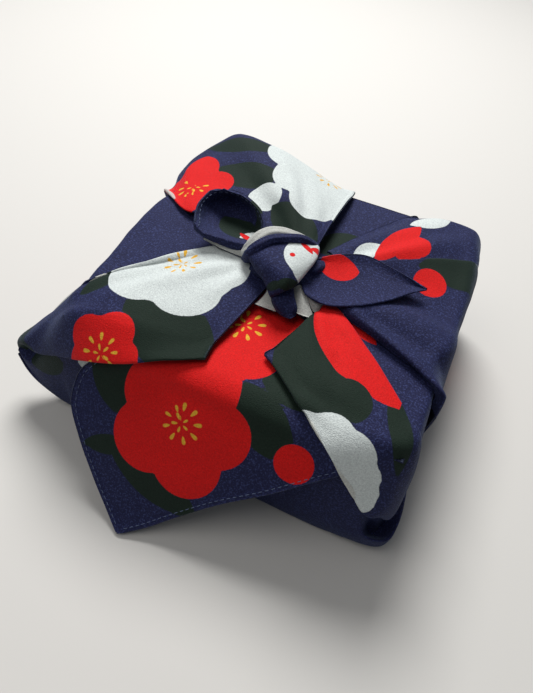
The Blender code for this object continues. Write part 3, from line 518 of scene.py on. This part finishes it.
def smooth(points, knots, places):
    """Reads a smooth curve (cubic, hardly any overshoot) through points at the given places.

    The first axis of points runs along the curve; the others are carried along.
    """
    points = np.asarray(points, float)
    knots = np.asarray(knots, float)
    gaps = np.diff(knots).reshape((-1,) + (1,) * (points.ndim - 1))
    slopes = np.diff(points, axis=0) / gaps
    tangents = np.empty_like(points)
    tangents[0], tangents[-1] = slopes[0], slopes[-1]
    before, after = slopes[:-1], slopes[1:]
    mean = (before * gaps[1:] + after * gaps[:-1]) / (gaps[1:] + gaps[:-1])
    limit = SLOPE_LIMIT * np.minimum(np.abs(before), np.abs(after)) + SLOPE_FREE * np.abs(mean)
    tangents[1:-1] = np.clip(mean, -limit, limit)
    span = np.clip(np.searchsorted(knots, places, side="right") - 1, 0, len(knots) - 2)
    width = np.diff(knots)[span]
    shape = (-1,) + (1,) * (points.ndim - 1)
    t = ((places - knots[span]) / width).reshape(shape)
    width = width.reshape(shape)
    start, end = points[span], points[span + 1]
    return (
        (2 * t**3 - 3 * t**2 + 1) * start
        + (t**3 - 2 * t**2 + t) * width * tangents[span]
        + (3 * t**2 - 2 * t**3) * end
        + (t**3 - t**2) * width * tangents[span + 1]
    )


def refine(grid, spacing):
    """Turns a grid of given points into a smooth one with a point about every spacing."""
    grid = np.asarray(grid, float)
    steps = np.linalg.norm(np.diff(grid, axis=1), axis=2)
    knots = np.concatenate([[0], np.cumsum(steps.mean(axis=0) ** STEP_POWER)])
    along = max(4, round(steps.sum(axis=1).max() / spacing))
    wide = np.linalg.norm(np.diff(grid, axis=0), axis=2).sum(axis=0).max()
    across = max(4, round(wide / spacing))
    grid = smooth(np.swapaxes(grid, 0, 1), knots, np.linspace(knots[0], knots[-1], along))
    knots = np.arange(grid.shape[1])
    return smooth(np.swapaxes(grid, 0, 1), knots, np.linspace(0, knots[-1], across))


def band_grid(folds, spacing=FINE):
    """The middle surface of a band of cloth, one row of points for each fold."""
    rows = []
    for fold in folds:
        neck, edge = np.array(fold.neck, float), np.array(fold.edge, float)
        run = edge - neck
        near = neck + run * NEAR_SHARE + (0, 0, fold.lift)
        walls = enumerate((WALL_X, WALL_Y))
        rim = [(wall - abs(neck[axis])) / abs(run[axis]) for axis, wall in walls]
        far = neck + run * min(FAR_SHARE, *rim) + (0, 0, fold.lift * FAR_LIFT)
        far[2] = max(far[2], BAND_PLY)
        rows.append([neck, near, far, edge, fold.hang, fold.foot])
    return refine(rows, spacing)


def wall_grid(walls, outward, spacing=FINE, cup=()):
    """The middle surface of the south or north wall with its ears, foot to tuck."""
    rows = []
    for wall in walls:
        toe = (wall.x, wall.foot_y, wall.foot_z)
        heel = (wall.x, wall.foot_y + outward * HEEL_OUT, wall.foot_z + HEEL_UP)
        belly = (wall.x, wall.belly_y, wall.belly_z)
        lip = (wall.x, wall.lip_y, wall.lip_z)
        inside = (wall.x, (wall.lip_y + wall.tuck_y) / 2, (wall.lip_z + wall.tuck_z) / 2)
        tuck = (wall.x, wall.tuck_y, wall.tuck_z)
        rows.append([toe, heel, belly, lip, inside, tuck])
    return refine(rows + list(cup), spacing)


def strip_grid(rows, spacing=FINE):
    """The middle surface of a ply that lies on the box, from its table of rows."""
    grid = []
    for share in (0, 0.25, 0.5, 0.75, 1):
        line = []
        for row in rows:
            x = row.west + (row.east - row.west) * share
            line.append((x, row.y, row.z + row.crown * math.sin(math.pi * share)))
        grid.append(line)
    return refine(grid, spacing)


def rope_grid(sections, sides=44, along=70, pleats=7, depth=0.05):
    """The skin of a rope of gathered cloth, with pleats that run along it."""
    table = np.array([list(section) for section in sections], float)
    steps = np.linalg.norm(np.diff(table[:, :3], axis=0), axis=1)
    knots = np.concatenate([[0], np.cumsum(steps)])
    table = smooth(table, knots, np.linspace(knots[0], knots[-1], along))
    centre, wide, thick = table[:, :3], table[:, 3:4], table[:, 4:5]
    run = np.gradient(centre, axis=0)
    run /= np.linalg.norm(run, axis=1, keepdims=True)
    side = np.cross(run, (0, 0, 1))
    side /= np.linalg.norm(side, axis=1, keepdims=True)
    rise = np.cross(side, run)
    turn = np.linspace(0, 2 * math.pi, sides, endpoint=False)
    drift = np.linspace(0, 1, along)[:, None]
    small = depth * 0.6 * np.sin(3 * turn - 3 * drift + 1)
    fold = 1 + depth * np.sin(pleats * turn + 2.2 * drift) + small
    across = (wide * np.cos(turn) * fold)[:, :, None] * side[:, None]
    upward = (thick * np.sin(turn) * fold)[:, :, None] * rise[:, None]
    return centre[:, None] + across + upward


def normals_of(grid, closed=False):
    """Unit normals of a grid of points. A closed grid joins its last column to its first."""
    across = np.gradient(grid, axis=0)
    if closed:
        along = (np.roll(grid, -1, axis=1) - np.roll(grid, 1, axis=1)) / 2
    else:
        along = np.gradient(grid, axis=1)
    normal = np.cross(across, along)
    return normal / np.maximum(np.linalg.norm(normal, axis=2, keepdims=True), 1e-9)


def press(name, grid, normal):
    """Presses this ply's creases into its middle surface, but not where the ply is turned under."""
    lift = np.zeros(grid.shape[:2])
    for start, end, rise, wide in CREASES.get(name, ()):
        start, end = np.array(start, float), np.array(end, float)
        run = end - start
        share = ((grid - start) @ run) / (run @ run)
        share = np.clip(share, 0, 1)
        nearest = start + share[:, :, None] * run
        away = np.linalg.norm(grid - nearest, axis=2)
        taper = np.clip(CREASE_FULL - np.abs(share - CREASE_PEAK) / CREASE_FADE, 0, 1)
        lift += rise * taper * np.exp(-((away / wide) ** 2))
    # full on a ply that faces up or level, none on one that faces well down
    lift *= np.clip(normal[..., 2] * 4 + 1.5, 0, 1)
    return grid + normal * lift[:, :, None]


def ripple(grid, normal, height):
    """A faint unevenness, as limp cloth has over a hard box. The divisors set its wavelengths."""
    x, y, z = grid[..., 0], grid[..., 1], grid[..., 2]
    wave = np.sin(x / 13 + 0.6 * np.sin(y / 17)) * np.sin(y / 11 + z / 9 + 0.8)
    wave += 0.5 * np.sin(x / 6.1 - y / 7.7 + 1.3) * np.sin(y / 5.3 + x / 9.1 + z / 6)
    return grid + normal * (height * wave)[:, :, None]


def turned(a, b, turn):
    """The same places, seen along axes that are turned by this many degrees."""
    angle = math.radians(turn)
    return a * math.cos(angle) + b * math.sin(angle), b * math.cos(angle) - a * math.sin(angle)


def inside_flower(a, b, radius, turn):
    """How far inside a flower of five round petals each place lies."""
    depth = radius * FLOWER_HEART - np.hypot(a, b)
    for petal, share in enumerate(PETAL_SHARES):
        angle = math.radians(turn + 360 // len(PETAL_SHARES) * petal)
        reach = radius * share * PETAL_OUT
        away = np.hypot(a - reach * math.cos(angle), b - reach * math.sin(angle))
        depth = np.maximum(depth, radius * share * PETAL_WIDE - away)
    return depth


def inside_leaf(a, b, size, turn):
    """How far inside a leaf with two curved sides each place lies."""
    half_long, half_wide = size
    u, v = turned(a, b, turn)
    side = (half_long**2 + half_wide**2) / (2 * half_wide)
    return side - np.hypot(u, np.abs(v) + side - half_wide)


def printed(name, grid, normal):
    """The print of a ply: how deep inside each ink it lies, and its places round a flower's heart.

    The last part of a place is 1 where the heart is near and nothing is printed over it.
    """
    depths = np.full(grid.shape[:2] + (3,), -PRINT_REACH)
    hearts = np.zeros(grid.shape[:2] + (3,))
    for shape, place, size, turn, ink in PRINTS.get(name, ()):
        offset = grid - np.array(place, float)
        distance = np.linalg.norm(offset, axis=2)
        nearest = np.unravel_index(np.argmin(distance), distance.shape)
        up = normal[nearest]
        on_side = abs(up[0]) >= 0.8
        right = np.array([0, -math.copysign(1, up[0]), 0] if on_side else [1.0, 0, 0])
        right -= up * (right @ up)
        right /= np.linalg.norm(right)
        a, b = offset @ right, offset @ np.cross(up, right)
        flat = np.maximum(np.hypot(a, b), 1e-6)
        a, b = a * distance / flat, b * distance / flat
        if shape == "flower":
            depth = inside_flower(a, b, size, turn)
        elif shape == "leaf":
            depth = inside_leaf(a, b, size, turn)
        else:
            depth = size - distance
        hearts[depth > 0] = 0
        if shape == "flower":
            near = (distance < STAMEN_REACH) & (normal @ up > 0.2)
            u, v = turned(a, b, turn)
            hearts[near] = np.stack([u, v, np.ones_like(a)], axis=2)[near]
        for layer in (RED, WHITE, GREEN):
            if layer == ink:
                depths[..., layer] = np.maximum(depths[..., layer], depth)
            else:
                depths[..., layer] = np.minimum(depths[..., layer], -depth)
    return np.clip(depths, -PRINT_REACH, PRINT_REACH), hearts


def bring_in(name, data):
    """Puts a mesh, a camera or a light into the scene."""
    thing = bpy.data.objects.new(name, data)
    bpy.context.scene.collection.objects.link(thing)
    return thing


class Bolt:
    """Gathers the points, faces and print of several plies into one mesh."""

    def __init__(self):
        self.points, self.faces, self.sides = [], [], []
        self.depths, self.hearts = [], []
        self.count = 0

    def add(self, points, faces, sides, print_of, places):
        """Adds a ply or a rope. Places say which of its grid's points each mesh point is printed like."""
        self.faces += [[corner + self.count for corner in face] for face in faces]
        self.sides += sides
        self.points.append(points)
        depths, hearts = printed(*print_of)
        self.depths.append(depths.reshape(-1, 3)[places])
        self.hearts.append(hearts.reshape(-1, 3)[places])
        self.count += len(points)

    def mesh(self, name, finishes):
        mesh = bpy.data.meshes.new(name)
        mesh.from_pydata((np.concatenate(self.points) * MM).tolist(), [], self.faces)
        for finish in finishes:
            mesh.materials.append(finish)
        mesh.polygons.foreach_set("material_index", np.array(self.sides, np.int32))
        mesh.polygons.foreach_set("use_smooth", np.ones(len(self.faces), bool))
        for title, values in (("print_depths", self.depths), ("flower_heart", self.hearts)):
            layer = mesh.attributes.new(title, "FLOAT_VECTOR", "POINT")
            layer.data.foreach_set("vector", np.concatenate(values).astype(np.float32).ravel())
        mesh.validate()
        mesh.update()
        return bring_in(name, mesh)


def rim_directions(grid):
    """For each point of a grid's rim, the direction that leads out of the cloth."""
    out = np.zeros_like(grid)
    out[0] -= grid[1] - grid[0]
    out[-1] += grid[-1] - grid[-2]
    out[:, 0] -= grid[:, 1] - grid[:, 0]
    out[:, -1] += grid[:, -1] - grid[:, -2]
    return out / np.maximum(np.linalg.norm(out, axis=2, keepdims=True), 1e-9)


def edge_distance(grid, hems):
    """How far each point lies from the nearest hemmed side of its ply."""
    far = np.full(grid.shape[:2], 1e3)
    across = np.linalg.norm(np.diff(grid, axis=0), axis=2)
    along = np.linalg.norm(np.diff(grid, axis=1), axis=2)
    down = np.concatenate([np.zeros((1, grid.shape[1])), np.cumsum(across, axis=0)])
    over = np.concatenate([np.zeros((grid.shape[0], 1)), np.cumsum(along, axis=1)], axis=1)
    sides = {"first": down, "last": down[-1] - down, "neck": over, "end": over[:, -1:] - over}
    for hem in hems:
        far = np.minimum(far, sides[hem])
    return far


def lay(bolt, name, grid, face_up=True, hems=(), thick=CLOTH, height=WALL_RIPPLE):
    """Lays one ply: two faces and a round rim, thicker along its hems."""
    if not face_up:
        grid = grid[::-1]
        hems = [{"first": "last", "last": "first"}.get(hem, hem) for hem in hems]
    grid = press(name, grid, normals_of(grid))
    calm = np.clip(edge_distance(grid, ("end",)) / CALM_END - 1, 0, 1)[:, :, None]
    grid = grid + (ripple(grid, normals_of(grid), height) - grid) * calm
    normal = normals_of(grid)
    half = np.full(grid.shape[:2], thick / 2)
    if hems:
        half += HEM_EXTRA / 2 * np.clip((HEM_WIDE - edge_distance(grid, hems)) / HEM_SLOPE, 0, 1)
    rows, columns = grid.shape[:2]
    count = rows * columns
    index = np.arange(count).reshape(rows, columns)
    offset = normal * half[:, :, None]
    rim = [(0, j) for j in range(columns)] + [(i, columns - 1) for i in range(1, rows)]
    rim += [(rows - 1, j) for j in range(columns - 2, -1, -1)]
    rim += [(i, 0) for i in range(rows - 2, 0, -1)]
    rim_i, rim_j = np.array(rim).T
    nose = grid[rim_i, rim_j] + rim_directions(grid)[rim_i, rim_j] * half[rim_i, rim_j][:, None]
    points = np.concatenate([(grid + offset).reshape(-1, 3), (grid - offset).reshape(-1, 3), nose])
    corners = [index[:-1, :-1], index[1:, :-1], index[1:, 1:], index[:-1, 1:]]
    quads = np.stack([corner.ravel() for corner in corners], axis=1)
    faces = quads.tolist() + (quads[:, ::-1] + count).tolist()
    sides = [FACE_SIDE] * len(quads) + [BACK_SIDE] * len(quads)
    border = index[rim_i, rim_j].tolist()
    for here in range(len(border)):
        after = (here + 1) % len(border)
        top, top_next = border[here], border[after]
        tip, tip_next = 2 * count + here, 2 * count + after
        faces.append([top_next, top, tip, tip_next])
        faces.append([tip_next, tip, top + count, top_next + count])
        sides += [FACE_SIDE, FACE_SIDE]
    own = np.arange(count)
    bolt.add(points, faces, sides, (name, grid, normal), np.concatenate([own, own, border]))
    return grid, normal, half


def wind(bolt, name, grid, side=FACE_SIDE):
    """Adds one rope of gathered cloth, with its two ends closed."""
    normal = normals_of(grid, closed=True)
    if ((grid - grid.mean(axis=1, keepdims=True)) * normal).sum() < 0:
        grid = grid[:, ::-1]
        normal = normals_of(grid, closed=True)
    rows, columns = grid.shape[:2]
    points = np.concatenate([grid.reshape(-1, 3), grid[0].mean(0)[None], grid[-1].mean(0)[None]])
    index = np.arange(rows * columns).reshape(rows, columns)
    after = np.roll(index, -1, axis=1)
    corners = [index[:-1], index[1:], after[1:], after[:-1]]
    quads = np.stack([corner.ravel() for corner in corners], axis=1)
    faces = quads.tolist()
    first, last = rows * columns, rows * columns + 1
    for here, there in zip(index[0].tolist(), after[0].tolist()):
        faces.append([first, here, there])
    for here, there in zip(index[-1].tolist(), after[-1].tolist()):
        faces.append([last, there, here])
    places = np.append(np.arange(rows * columns), [0, rows * columns - 1])
    bolt.add(points, faces, [side] * len(faces), (name, grid, normal), places)


class Socket:
    """A shader value or colour that can be written as a Python expression."""

    def __init__(self, tree, link):
        self.tree, self.link = tree, link

    def _maths(self, operation, *others):
        node = self.tree.nodes.new("ShaderNodeMath")
        node.operation = operation
        for place, value in enumerate((self, *others)):
            self.tree.feed(node.inputs[place], value)
        return Socket(self.tree, node.outputs[0])

    __add__ = __radd__ = partialmethod(_maths, "ADD")
    __sub__ = partialmethod(_maths, "SUBTRACT")
    __mul__ = partialmethod(_maths, "MULTIPLY")
    __truediv__ = partialmethod(_maths, "DIVIDE")
    __pow__ = partialmethod(_maths, "POWER")
    sine = partialmethod(_maths, "SINE")
    cosine = partialmethod(_maths, "COSINE")
    nearest = partialmethod(_maths, "ROUND")
    angle_from = partialmethod(_maths, "ARCTAN2")

    def __rsub__(self, other):
        return self * -1 + other

    def clamp(self):
        bounded = self + 0
        bounded.link.node.use_clamp = True
        return bounded

    def inside(self, width):
        """1 where the value is above zero, 0 below, with a soft edge of this width."""
        return (self / width + 0.5).clamp()


class Finish:
    """A material and the nodes that make it."""

    def __init__(self, title):
        self.material = bpy.data.materials.new(title)
        self.material.use_nodes = True
        self.nodes = self.material.node_tree.nodes
        self.links = self.material.node_tree.links
        self.shader = self.nodes["Principled BSDF"]

    def feed(self, target, value):
        if isinstance(value, Socket):
            self.links.new(value.link, target)
        elif isinstance(value, (tuple, list)) and len(value) == 3 and target.type == "RGBA":
            target.default_value = (*value, 1)
        else:
            target.default_value = value

    def node(self, kind, settings=None, sockets=None, out=0):
        """Adds a node: its settings first, then the values or links of its sockets."""
        made = self.nodes.new("ShaderNode" + kind)
        for setting, value in (settings or {}).items():
            setattr(made, setting, value)
        for socket, value in (sockets or {}).items():
            self.feed(made.inputs[socket], value)
        return Socket(self, made.outputs[out])

    def mix(self, share, first, second, blend="MIX"):
        """A colour between two colours."""
        kind = {"data_type": "RGBA", "blend_type": blend}
        return self.node("Mix", kind, {0: share, 6: first, 7: second}, out=2)

    def parts(self, vector):
        split = self.nodes.new("ShaderNodeSeparateXYZ")
        self.feed(split.inputs[0], vector)
        return [Socket(self, output) for output in split.outputs]

    def attribute(self, title):
        return self.node("Attribute", {"attribute_name": title}, out=1)

    def places(self):
        return self.node("TexCoord", out=3)

    def stretched(self, vector, scale):
        return self.node("VectorMath", {"operation": "MULTIPLY"}, {0: vector, 1: scale})

    def noise(self, vector, scale, detail, roughness=0.5):
        sockets = {"Vector": vector, "Scale": scale, "Detail": detail, "Roughness": roughness}
        return self.node("TexNoise", None, sockets)

    def bump(self, height, strength, distance):
        sockets = {"Height": height, "Strength": strength, "Distance": distance}
        return self.node("Bump", None, sockets)

    def dress(self, sockets):
        for socket, value in sockets.items():
            self.feed(self.shader.inputs[socket], value)
        return self.material


def stamens(finish, heart):
    """Two rings of stamens round the heart of a flower."""
    a, b, near = finish.parts(heart)
    reach = (a * a + b * b) ** 0.5
    angle = b.angle_from(a)
    mask = None
    for ring in STAMEN_RINGS:
        step = 2 * math.pi / ring.count
        number = ((angle + ring.lead) / step).nearest()
        # each stamen stands a little off its place and is shaped like a drop
        wander = (number * 12.9 + ring.lead * 9).sine()
        off = angle + ring.lead - number * step - wander * 0.16
        along = (reach * off.cosine() - ring.reach - wander) * 0.55
        aside = reach * off.sine() * (1.25 - along * 0.35)
        dot = (ring.size + wander * 0.2 - (along * along + aside * aside) ** 0.5).inside(0.35)
        mask = dot if mask is None else (mask + dot).clamp()
    return mask * (near - 0.98).inside(0.02)


def crepe(title, show):
    """Printed crepe. Show is how much of the print is seen: all on the face, little on the back."""
    finish = Finish(title)
    places = finish.places()
    pebble = finish.noise(places, scale=1700, detail=1.0)
    thread = finish.noise(finish.stretched(places, (1.0, 0.5, 1.0)), scale=3000, detail=0.0)
    cloud = finish.noise(places, scale=45, detail=3.0)
    grain = pebble * 0.65 + thread * 0.35
    red, white, green = finish.parts(finish.attribute("print_depths"))
    fray = (grain - 0.5) * 0.5
    # one fine noise gives both the random tone of the navy ground and the painted glints of the crepe's
    # pebbles
    fleck_and_glint = finish.noise(places, scale=1050, detail=1.0, roughness=0.6)
    ground = finish.mix((cloud * 0.4 + (fleck_and_glint - 0.5) * 1.6 + 0.3).clamp(), NAVY_DEEP, NAVY)
    # lighter blue specks where that noise is high: painted glints of the crepe's pebbles
    ground = finish.mix((fleck_and_glint - 0.60).inside(0.1) * 0.5, ground, NAVY_GLINT_PAINTED)
    ink = finish.mix((green + fray).inside(0.3), ground, LEAF_GREEN)
    ink = finish.mix((white + fray).inside(0.3), ink, PETAL_WHITE)
    ink = finish.mix((red + fray).inside(0.3), ink, CAMELLIA)
    ink = finish.mix(stamens(finish, finish.attribute("flower_heart")), ink, STAMEN)
    if show < 1:
        ink = finish.mix(show, REVERSE, ink)
    # darker where the grain noise is low and lighter where it is high, from the same noises as the bump:
    # painted shade and light of the crepe's pebbles
    pebble_light_share = ((fleck_and_glint * 0.5 + grain * 0.5 - 0.5) * 2.0 + 0.5).clamp()
    painted_pebble_light_and_shade = finish.mix(pebble_light_share, PAINTED_PEBBLE_SHADE, PAINTED_PEBBLE_LIGHT)
    colour = finish.mix(1.0, ink, painted_pebble_light_and_shade, "MULTIPLY")
    height = grain + cloud * 0.3
    return finish.dress({
        "Base Color": colour,
        "Roughness": 0.60 + grain * 0.25,
        "Normal": finish.bump(height, strength=0.9, distance=0.0005),
        "Sheen Weight": 0.12,
        "Sheen Roughness": 0.35,
        "Sheen Tint": (0.50, 0.66, 1.0),
        "Specular IOR Level": 0.14,
    })


def card():
    finish = Finish("plain_card")
    places = finish.places()
    fibre = finish.noise(finish.stretched(places, (1, 0.25, 1)), scale=900, detail=3.0)
    blotch = finish.noise(places, scale=60, detail=3.0)
    tone = (fibre * 0.6 + blotch * 0.4).clamp()
    return finish.dress({
        "Base Color": finish.mix(tone, (0.46, 0.37, 0.26), (0.66, 0.56, 0.43)),
        "Roughness": 0.75 + fibre * 0.15,
        "Normal": finish.bump(fibre, strength=0.3, distance=0.0002),
    })


def thread():
    finish = Finish("hem_thread")
    twist = finish.noise(finish.places(), scale=3000, detail=1.0)
    return finish.dress({
        "Base Color": finish.mix(twist, (0.045, 0.065, 0.14), (0.13, 0.17, 0.28)),
        "Roughness": 0.55 + twist * 0.2,
        "Normal": finish.bump(twist, strength=0.4, distance=0.0002),
    })


def plain(title, colour, roughness):
    finish = Finish(title)
    return finish.dress({"Base Color": colour, "Roughness": roughness})


def capsule(start, end, up, radius):
    """One stitch: a short round-ended thread that lies on the cloth."""
    start, end, up = np.array(start), np.array(end), np.array(up)
    run = end - start
    length = np.linalg.norm(run)
    run /= max(length, 1e-6)
    side = np.cross(run, up)
    points, faces = [], []
    profile = ((0.0, 0.35), (0.18, 0.9), (0.82, 0.9), (1.0, 0.35))
    for share, width in profile:
        for k in range(STITCH_SIDES):
            turn = 2 * math.pi * k / STITCH_SIDES
            ring = side * math.cos(turn) + up * math.sin(turn)
            points.append(start + run * length * share + ring * radius * width)
    for i in range(len(profile) - 1):
        for k in range(STITCH_SIDES):
            here, after = i * STITCH_SIDES + k, i * STITCH_SIDES + (k + 1) % STITCH_SIDES
            faces.append([here, after, after + STITCH_SIDES, here + STITCH_SIDES])
    faces.append([STITCH_SIDES - 1 - k for k in range(STITCH_SIDES)])
    faces.append([len(points) - STITCH_SIDES + k for k in range(STITCH_SIDES)])
    return points, faces


def read_at(at, steps, line):
    """The place on a line of points at this distance along it."""
    return [np.interp(at, steps, line[:, axis]) for axis in range(3)]


class Stitches:
    """Gathers all the stitches of the hems into one mesh."""

    def __init__(self):
        self.points, self.faces = [], []

    def sew(self, laid, hems, inset=3.2, long=2.2, gap=1.5, radius=0.2, start=0.0, stop=1.0):
        grid, normal, half = laid
        top = grid + normal * (half + radius * 0.35)[:, :, None]
        for hem in hems:
            rows = {"first": (top, normal), "last": (top[::-1], normal[::-1])}
            if hem in rows:
                lines, ups = rows[hem]
            else:
                lines, ups = (np.swapaxes(field[:, ::-1], 0, 1) for field in (top, normal))
            across = np.linalg.norm(np.diff(lines, axis=0), axis=2)
            depth = np.concatenate([np.zeros((1, lines.shape[1])), np.cumsum(across, axis=0)])
            line, up = [], []
            for j in range(lines.shape[1]):
                if depth[-1, j] < 2.5 * inset:
                    continue
                line.append(read_at(inset, depth[:, j], lines[:, j]))
                up.append(read_at(inset, depth[:, j], ups[:, j]))
            line, up = np.array(line), np.array(up)
            steps = np.concatenate([[0], np.cumsum(np.linalg.norm(np.diff(line, axis=0), axis=1))])
            here = steps[-1] * start + gap
            while here + long < steps[-1] * stop:
                ends = [read_at(at, steps, line) for at in (here, here + long)]
                upward = np.array(read_at(here, steps, up))
                points, faces = capsule(*ends, upward / np.linalg.norm(upward), radius)
                self.faces += [[corner + len(self.points) for corner in face] for face in faces]
                self.points += points
                here += long + gap

    def mesh(self, name, finish):
        mesh = bpy.data.meshes.new(name)
        mesh.from_pydata([tuple(point * MM) for point in self.points], [], self.faces)
        mesh.materials.append(finish)
        mesh.polygons.foreach_set("use_smooth", np.ones(len(self.faces), bool))
        mesh.update()
        return bring_in(name, mesh)


def floor_grid():
    """The ply under the box, out to the feet of the four walls."""
    south = [(wall.x, wall.foot_y - WALL_LAP) for wall in SOUTH_WALL if wall.foot_z <= STANDING]
    south += [(line[0][0], line[0][1] - WALL_LAP) for line in SOUTH_EAST_CUP[:3]]
    north = [(wall.x, wall.foot_y + WALL_LAP) for wall in NORTH_WALL if wall.foot_z <= STANDING]
    east_folds = EAST_WALL[1:] + EAST_SIDE[3:] + NORTH_EAST_BAND[1:]
    west_folds = SOUTH_WEST_BAND[:-1] + WEST_SIDE[2:]
    east, west = (
        sorted((fold.foot[1], fold.foot[0] + lap) for fold in folds if fold.foot[2] <= STANDING)
        for folds, lap in ((east_folds, SIDE_LAP), (west_folds, -SIDE_LAP))
    )
    levels = np.linspace(-1, 1, FLOOR_ROWS)
    x = np.linspace(-FLOOR_REACH, FLOOR_REACH, FLOOR_COLUMNS)
    low = np.interp(x, *zip(*sorted(south)))
    high = np.interp(x, *zip(*sorted(north)))
    grid = np.empty((FLOOR_COLUMNS, FLOOR_ROWS, 3))
    for j, level in enumerate(levels):
        y = (low + high) / 2 + level * (high - low) / 2
        grid[:, j] = np.stack([x, y, np.full_like(x, CAD_CLOTH / 2)], axis=1)
    for side, line in ((-1, east), (0, west)):
        grid[side, :, 0] = np.interp(grid[side, :, 1], *zip(*line))
    return grid


def inward(grid, outward, gap):
    """A tuck that lies behind a wall, a small gap nearer the box."""
    tuck = grid[TUCK_ACROSS, TUCK_UP].copy()
    tuck[..., 1] -= outward * gap
    limit = outward * (BOX_Y / 2 + TUCK_CLEAR)
    furthest = np.maximum if outward > 0 else np.minimum
    tuck[..., 1] = furthest(tuck[..., 1], limit)
    return tuck


def sew_wrap(face, back):
    bolt, stitches = Bolt(), Stitches()
    lay(bolt, "floor_ply", floor_grid(), face_up=False, height=0)
    lay(bolt, "south_wall", wall_grid(SOUTH_WALL, -1, cup=SOUTH_EAST_CUP))
    lay(bolt, "north_wall", wall_grid(NORTH_WALL, 1), face_up=False)
    for number in range(TUCKS):
        gap = TUCK_GAP * (number + 1)
        for walls, outward, face_up in ((SOUTH_WALL[3:], -1, True), (NORTH_WALL[3:-2], 1, False)):
            tuck = inward(wall_grid(walls, outward, COARSE), outward, gap)
            lay(bolt, "tuck", tuck, face_up, thick=TUCK_CLOTH, height=0)
    lay(bolt, "south_top", strip_grid(SOUTH_TOP, COARSE), height=0)
    hems = ("first", "last")
    north_top = lay(bolt, "north_top", strip_grid(NORTH_TOP), False, hems, height=FLAP_RIPPLE)
    stitches.sew(north_top, hems, start=0.47)
    for name, folds, face_up, hem in (
        ("south_west_band", SOUTH_WEST_BAND, True, ("first",)),
        ("west_side", WEST_SIDE, True, ()),
        ("north_west_band", NORTH_WEST_BAND, True, ("last",)),
        ("south_east_band", SOUTH_EAST_BAND, False, ("first",)),
        ("east_wall", EAST_WALL, False, ()),
        ("east_side", EAST_SIDE, False, ()),
        ("north_east_band", NORTH_EAST_BAND, False, ("last",)),
    ):
        lay(bolt, name, band_grid(folds), face_up, hem, height=BAND_RIPPLE)
    return bolt.mesh("folded_cloth", (face, back)), stitches


def tie_tails(face, back, stitches):
    bolt = Bolt()
    hems = ("last", "end")
    tail = refine(NORTH_WEST_TAIL, TAIL_FINE)
    laid = lay(bolt, "north_west_tail", tail, True, hems, height=KNOT_RIPPLE)
    stitches.sew(laid, hems, start=0.1, stop=0.95)
    lay(bolt, "east_tail", refine(EAST_TAIL, TAIL_FINE), False, height=KNOT_RIPPLE)
    return bolt.mesh("tails", (face, back))


def tie_knot(face, back):
    bolt = Bolt()
    for name, lines in KNOT_PLIES.items():
        lay(bolt, name, refine(lines, KNOT_FINE), name.startswith("pale"), height=KNOT_RIPPLE)
    for name, sections in KNOT_ROPES.items():
        side = BACK_SIDE if name.startswith("pale") else FACE_SIDE
        wind(bolt, name, rope_grid(sections), side)
    return bolt.mesh("knot", (face, back))


def set_camera():
    data = bpy.data.cameras.new("camera")
    camera = bring_in("camera", data)
    right = (0.90120465, 0.42714422, 0.07333481)
    up = (-0.3638699, 0.65380443, 0.66342932)
    forward = (-0.23543337, 0.62456992, -0.74463652)
    place = (0.0811006, -0.2503064, 0.3054146)
    turn = Matrix((right, up, [-part for part in forward])).transposed().to_4x4()
    camera.matrix_world = Matrix.Translation(place) @ turn
    data.sensor_width, data.sensor_fit, data.lens = 36.0, "AUTO", 28.21
    data.clip_start = 0.01
    bpy.context.scene.camera = camera


def set_floor():
    mesh = bpy.data.meshes.new("floor")
    size = 3.0
    corners = [(-size, -size, 0), (size, -size, 0), (size, size, 0), (-size, size, 0)]
    mesh.from_pydata(corners, [], [[0, 1, 2, 3]])
    mesh.materials.append(plain("pale_floor", (0.58, 0.57, 0.55), 0.7))
    floor = bring_in("floor", mesh)
    floor.location.z = -0.0002


def set_light(name, place, aim, size, power, colour):
    data = bpy.data.lights.new(name, "AREA")
    data.shape, data.size, data.energy, data.color = "DISK", size, power, colour
    light = bring_in(name, data)
    way = (Vector(place) - Vector(aim)).to_track_quat("Z", "Y")
    light.matrix_world = Matrix.Translation(place) @ way.to_matrix().to_4x4()


def set_lights():
    set_light("window", (-0.42, 0.85, 1.35), (0, 0, 0.06), 0.8, 34, (1.0, 0.99, 0.97))
    set_light("room", (-0.45, -0.55, 1.6), (0, 0, 0.05), 1.2, 7, (1.0, 0.97, 0.93))
    world = bpy.data.worlds.new("studio")
    world.use_nodes = True
    ground = world.node_tree.nodes["Background"]
    ground.inputs["Color"].default_value = (0.90, 0.94, 1.0, 1)
    ground.inputs["Strength"].default_value = 0.17
    bpy.context.scene.world = world
    bpy.context.scene.view_settings.view_transform = "Standard"


def main():
    set_camera()
    set_floor()
    set_lights()
    face, back = crepe("printed_crepe", 1.0), crepe("crepe_reverse", 0.10)
    cloth, stitches = sew_wrap(face, back)
    tails = tie_tails(face, back, stitches)
    knot = tie_knot(face, back)
    hems = stitches.mesh("hem_stitches", thread())
    for piece in (cloth, tails, knot, hems):
        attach(piece, BODY)
    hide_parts("cloth")
    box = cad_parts["box"]
    for slot in box.material_slots:
        slot.material = card()


main()
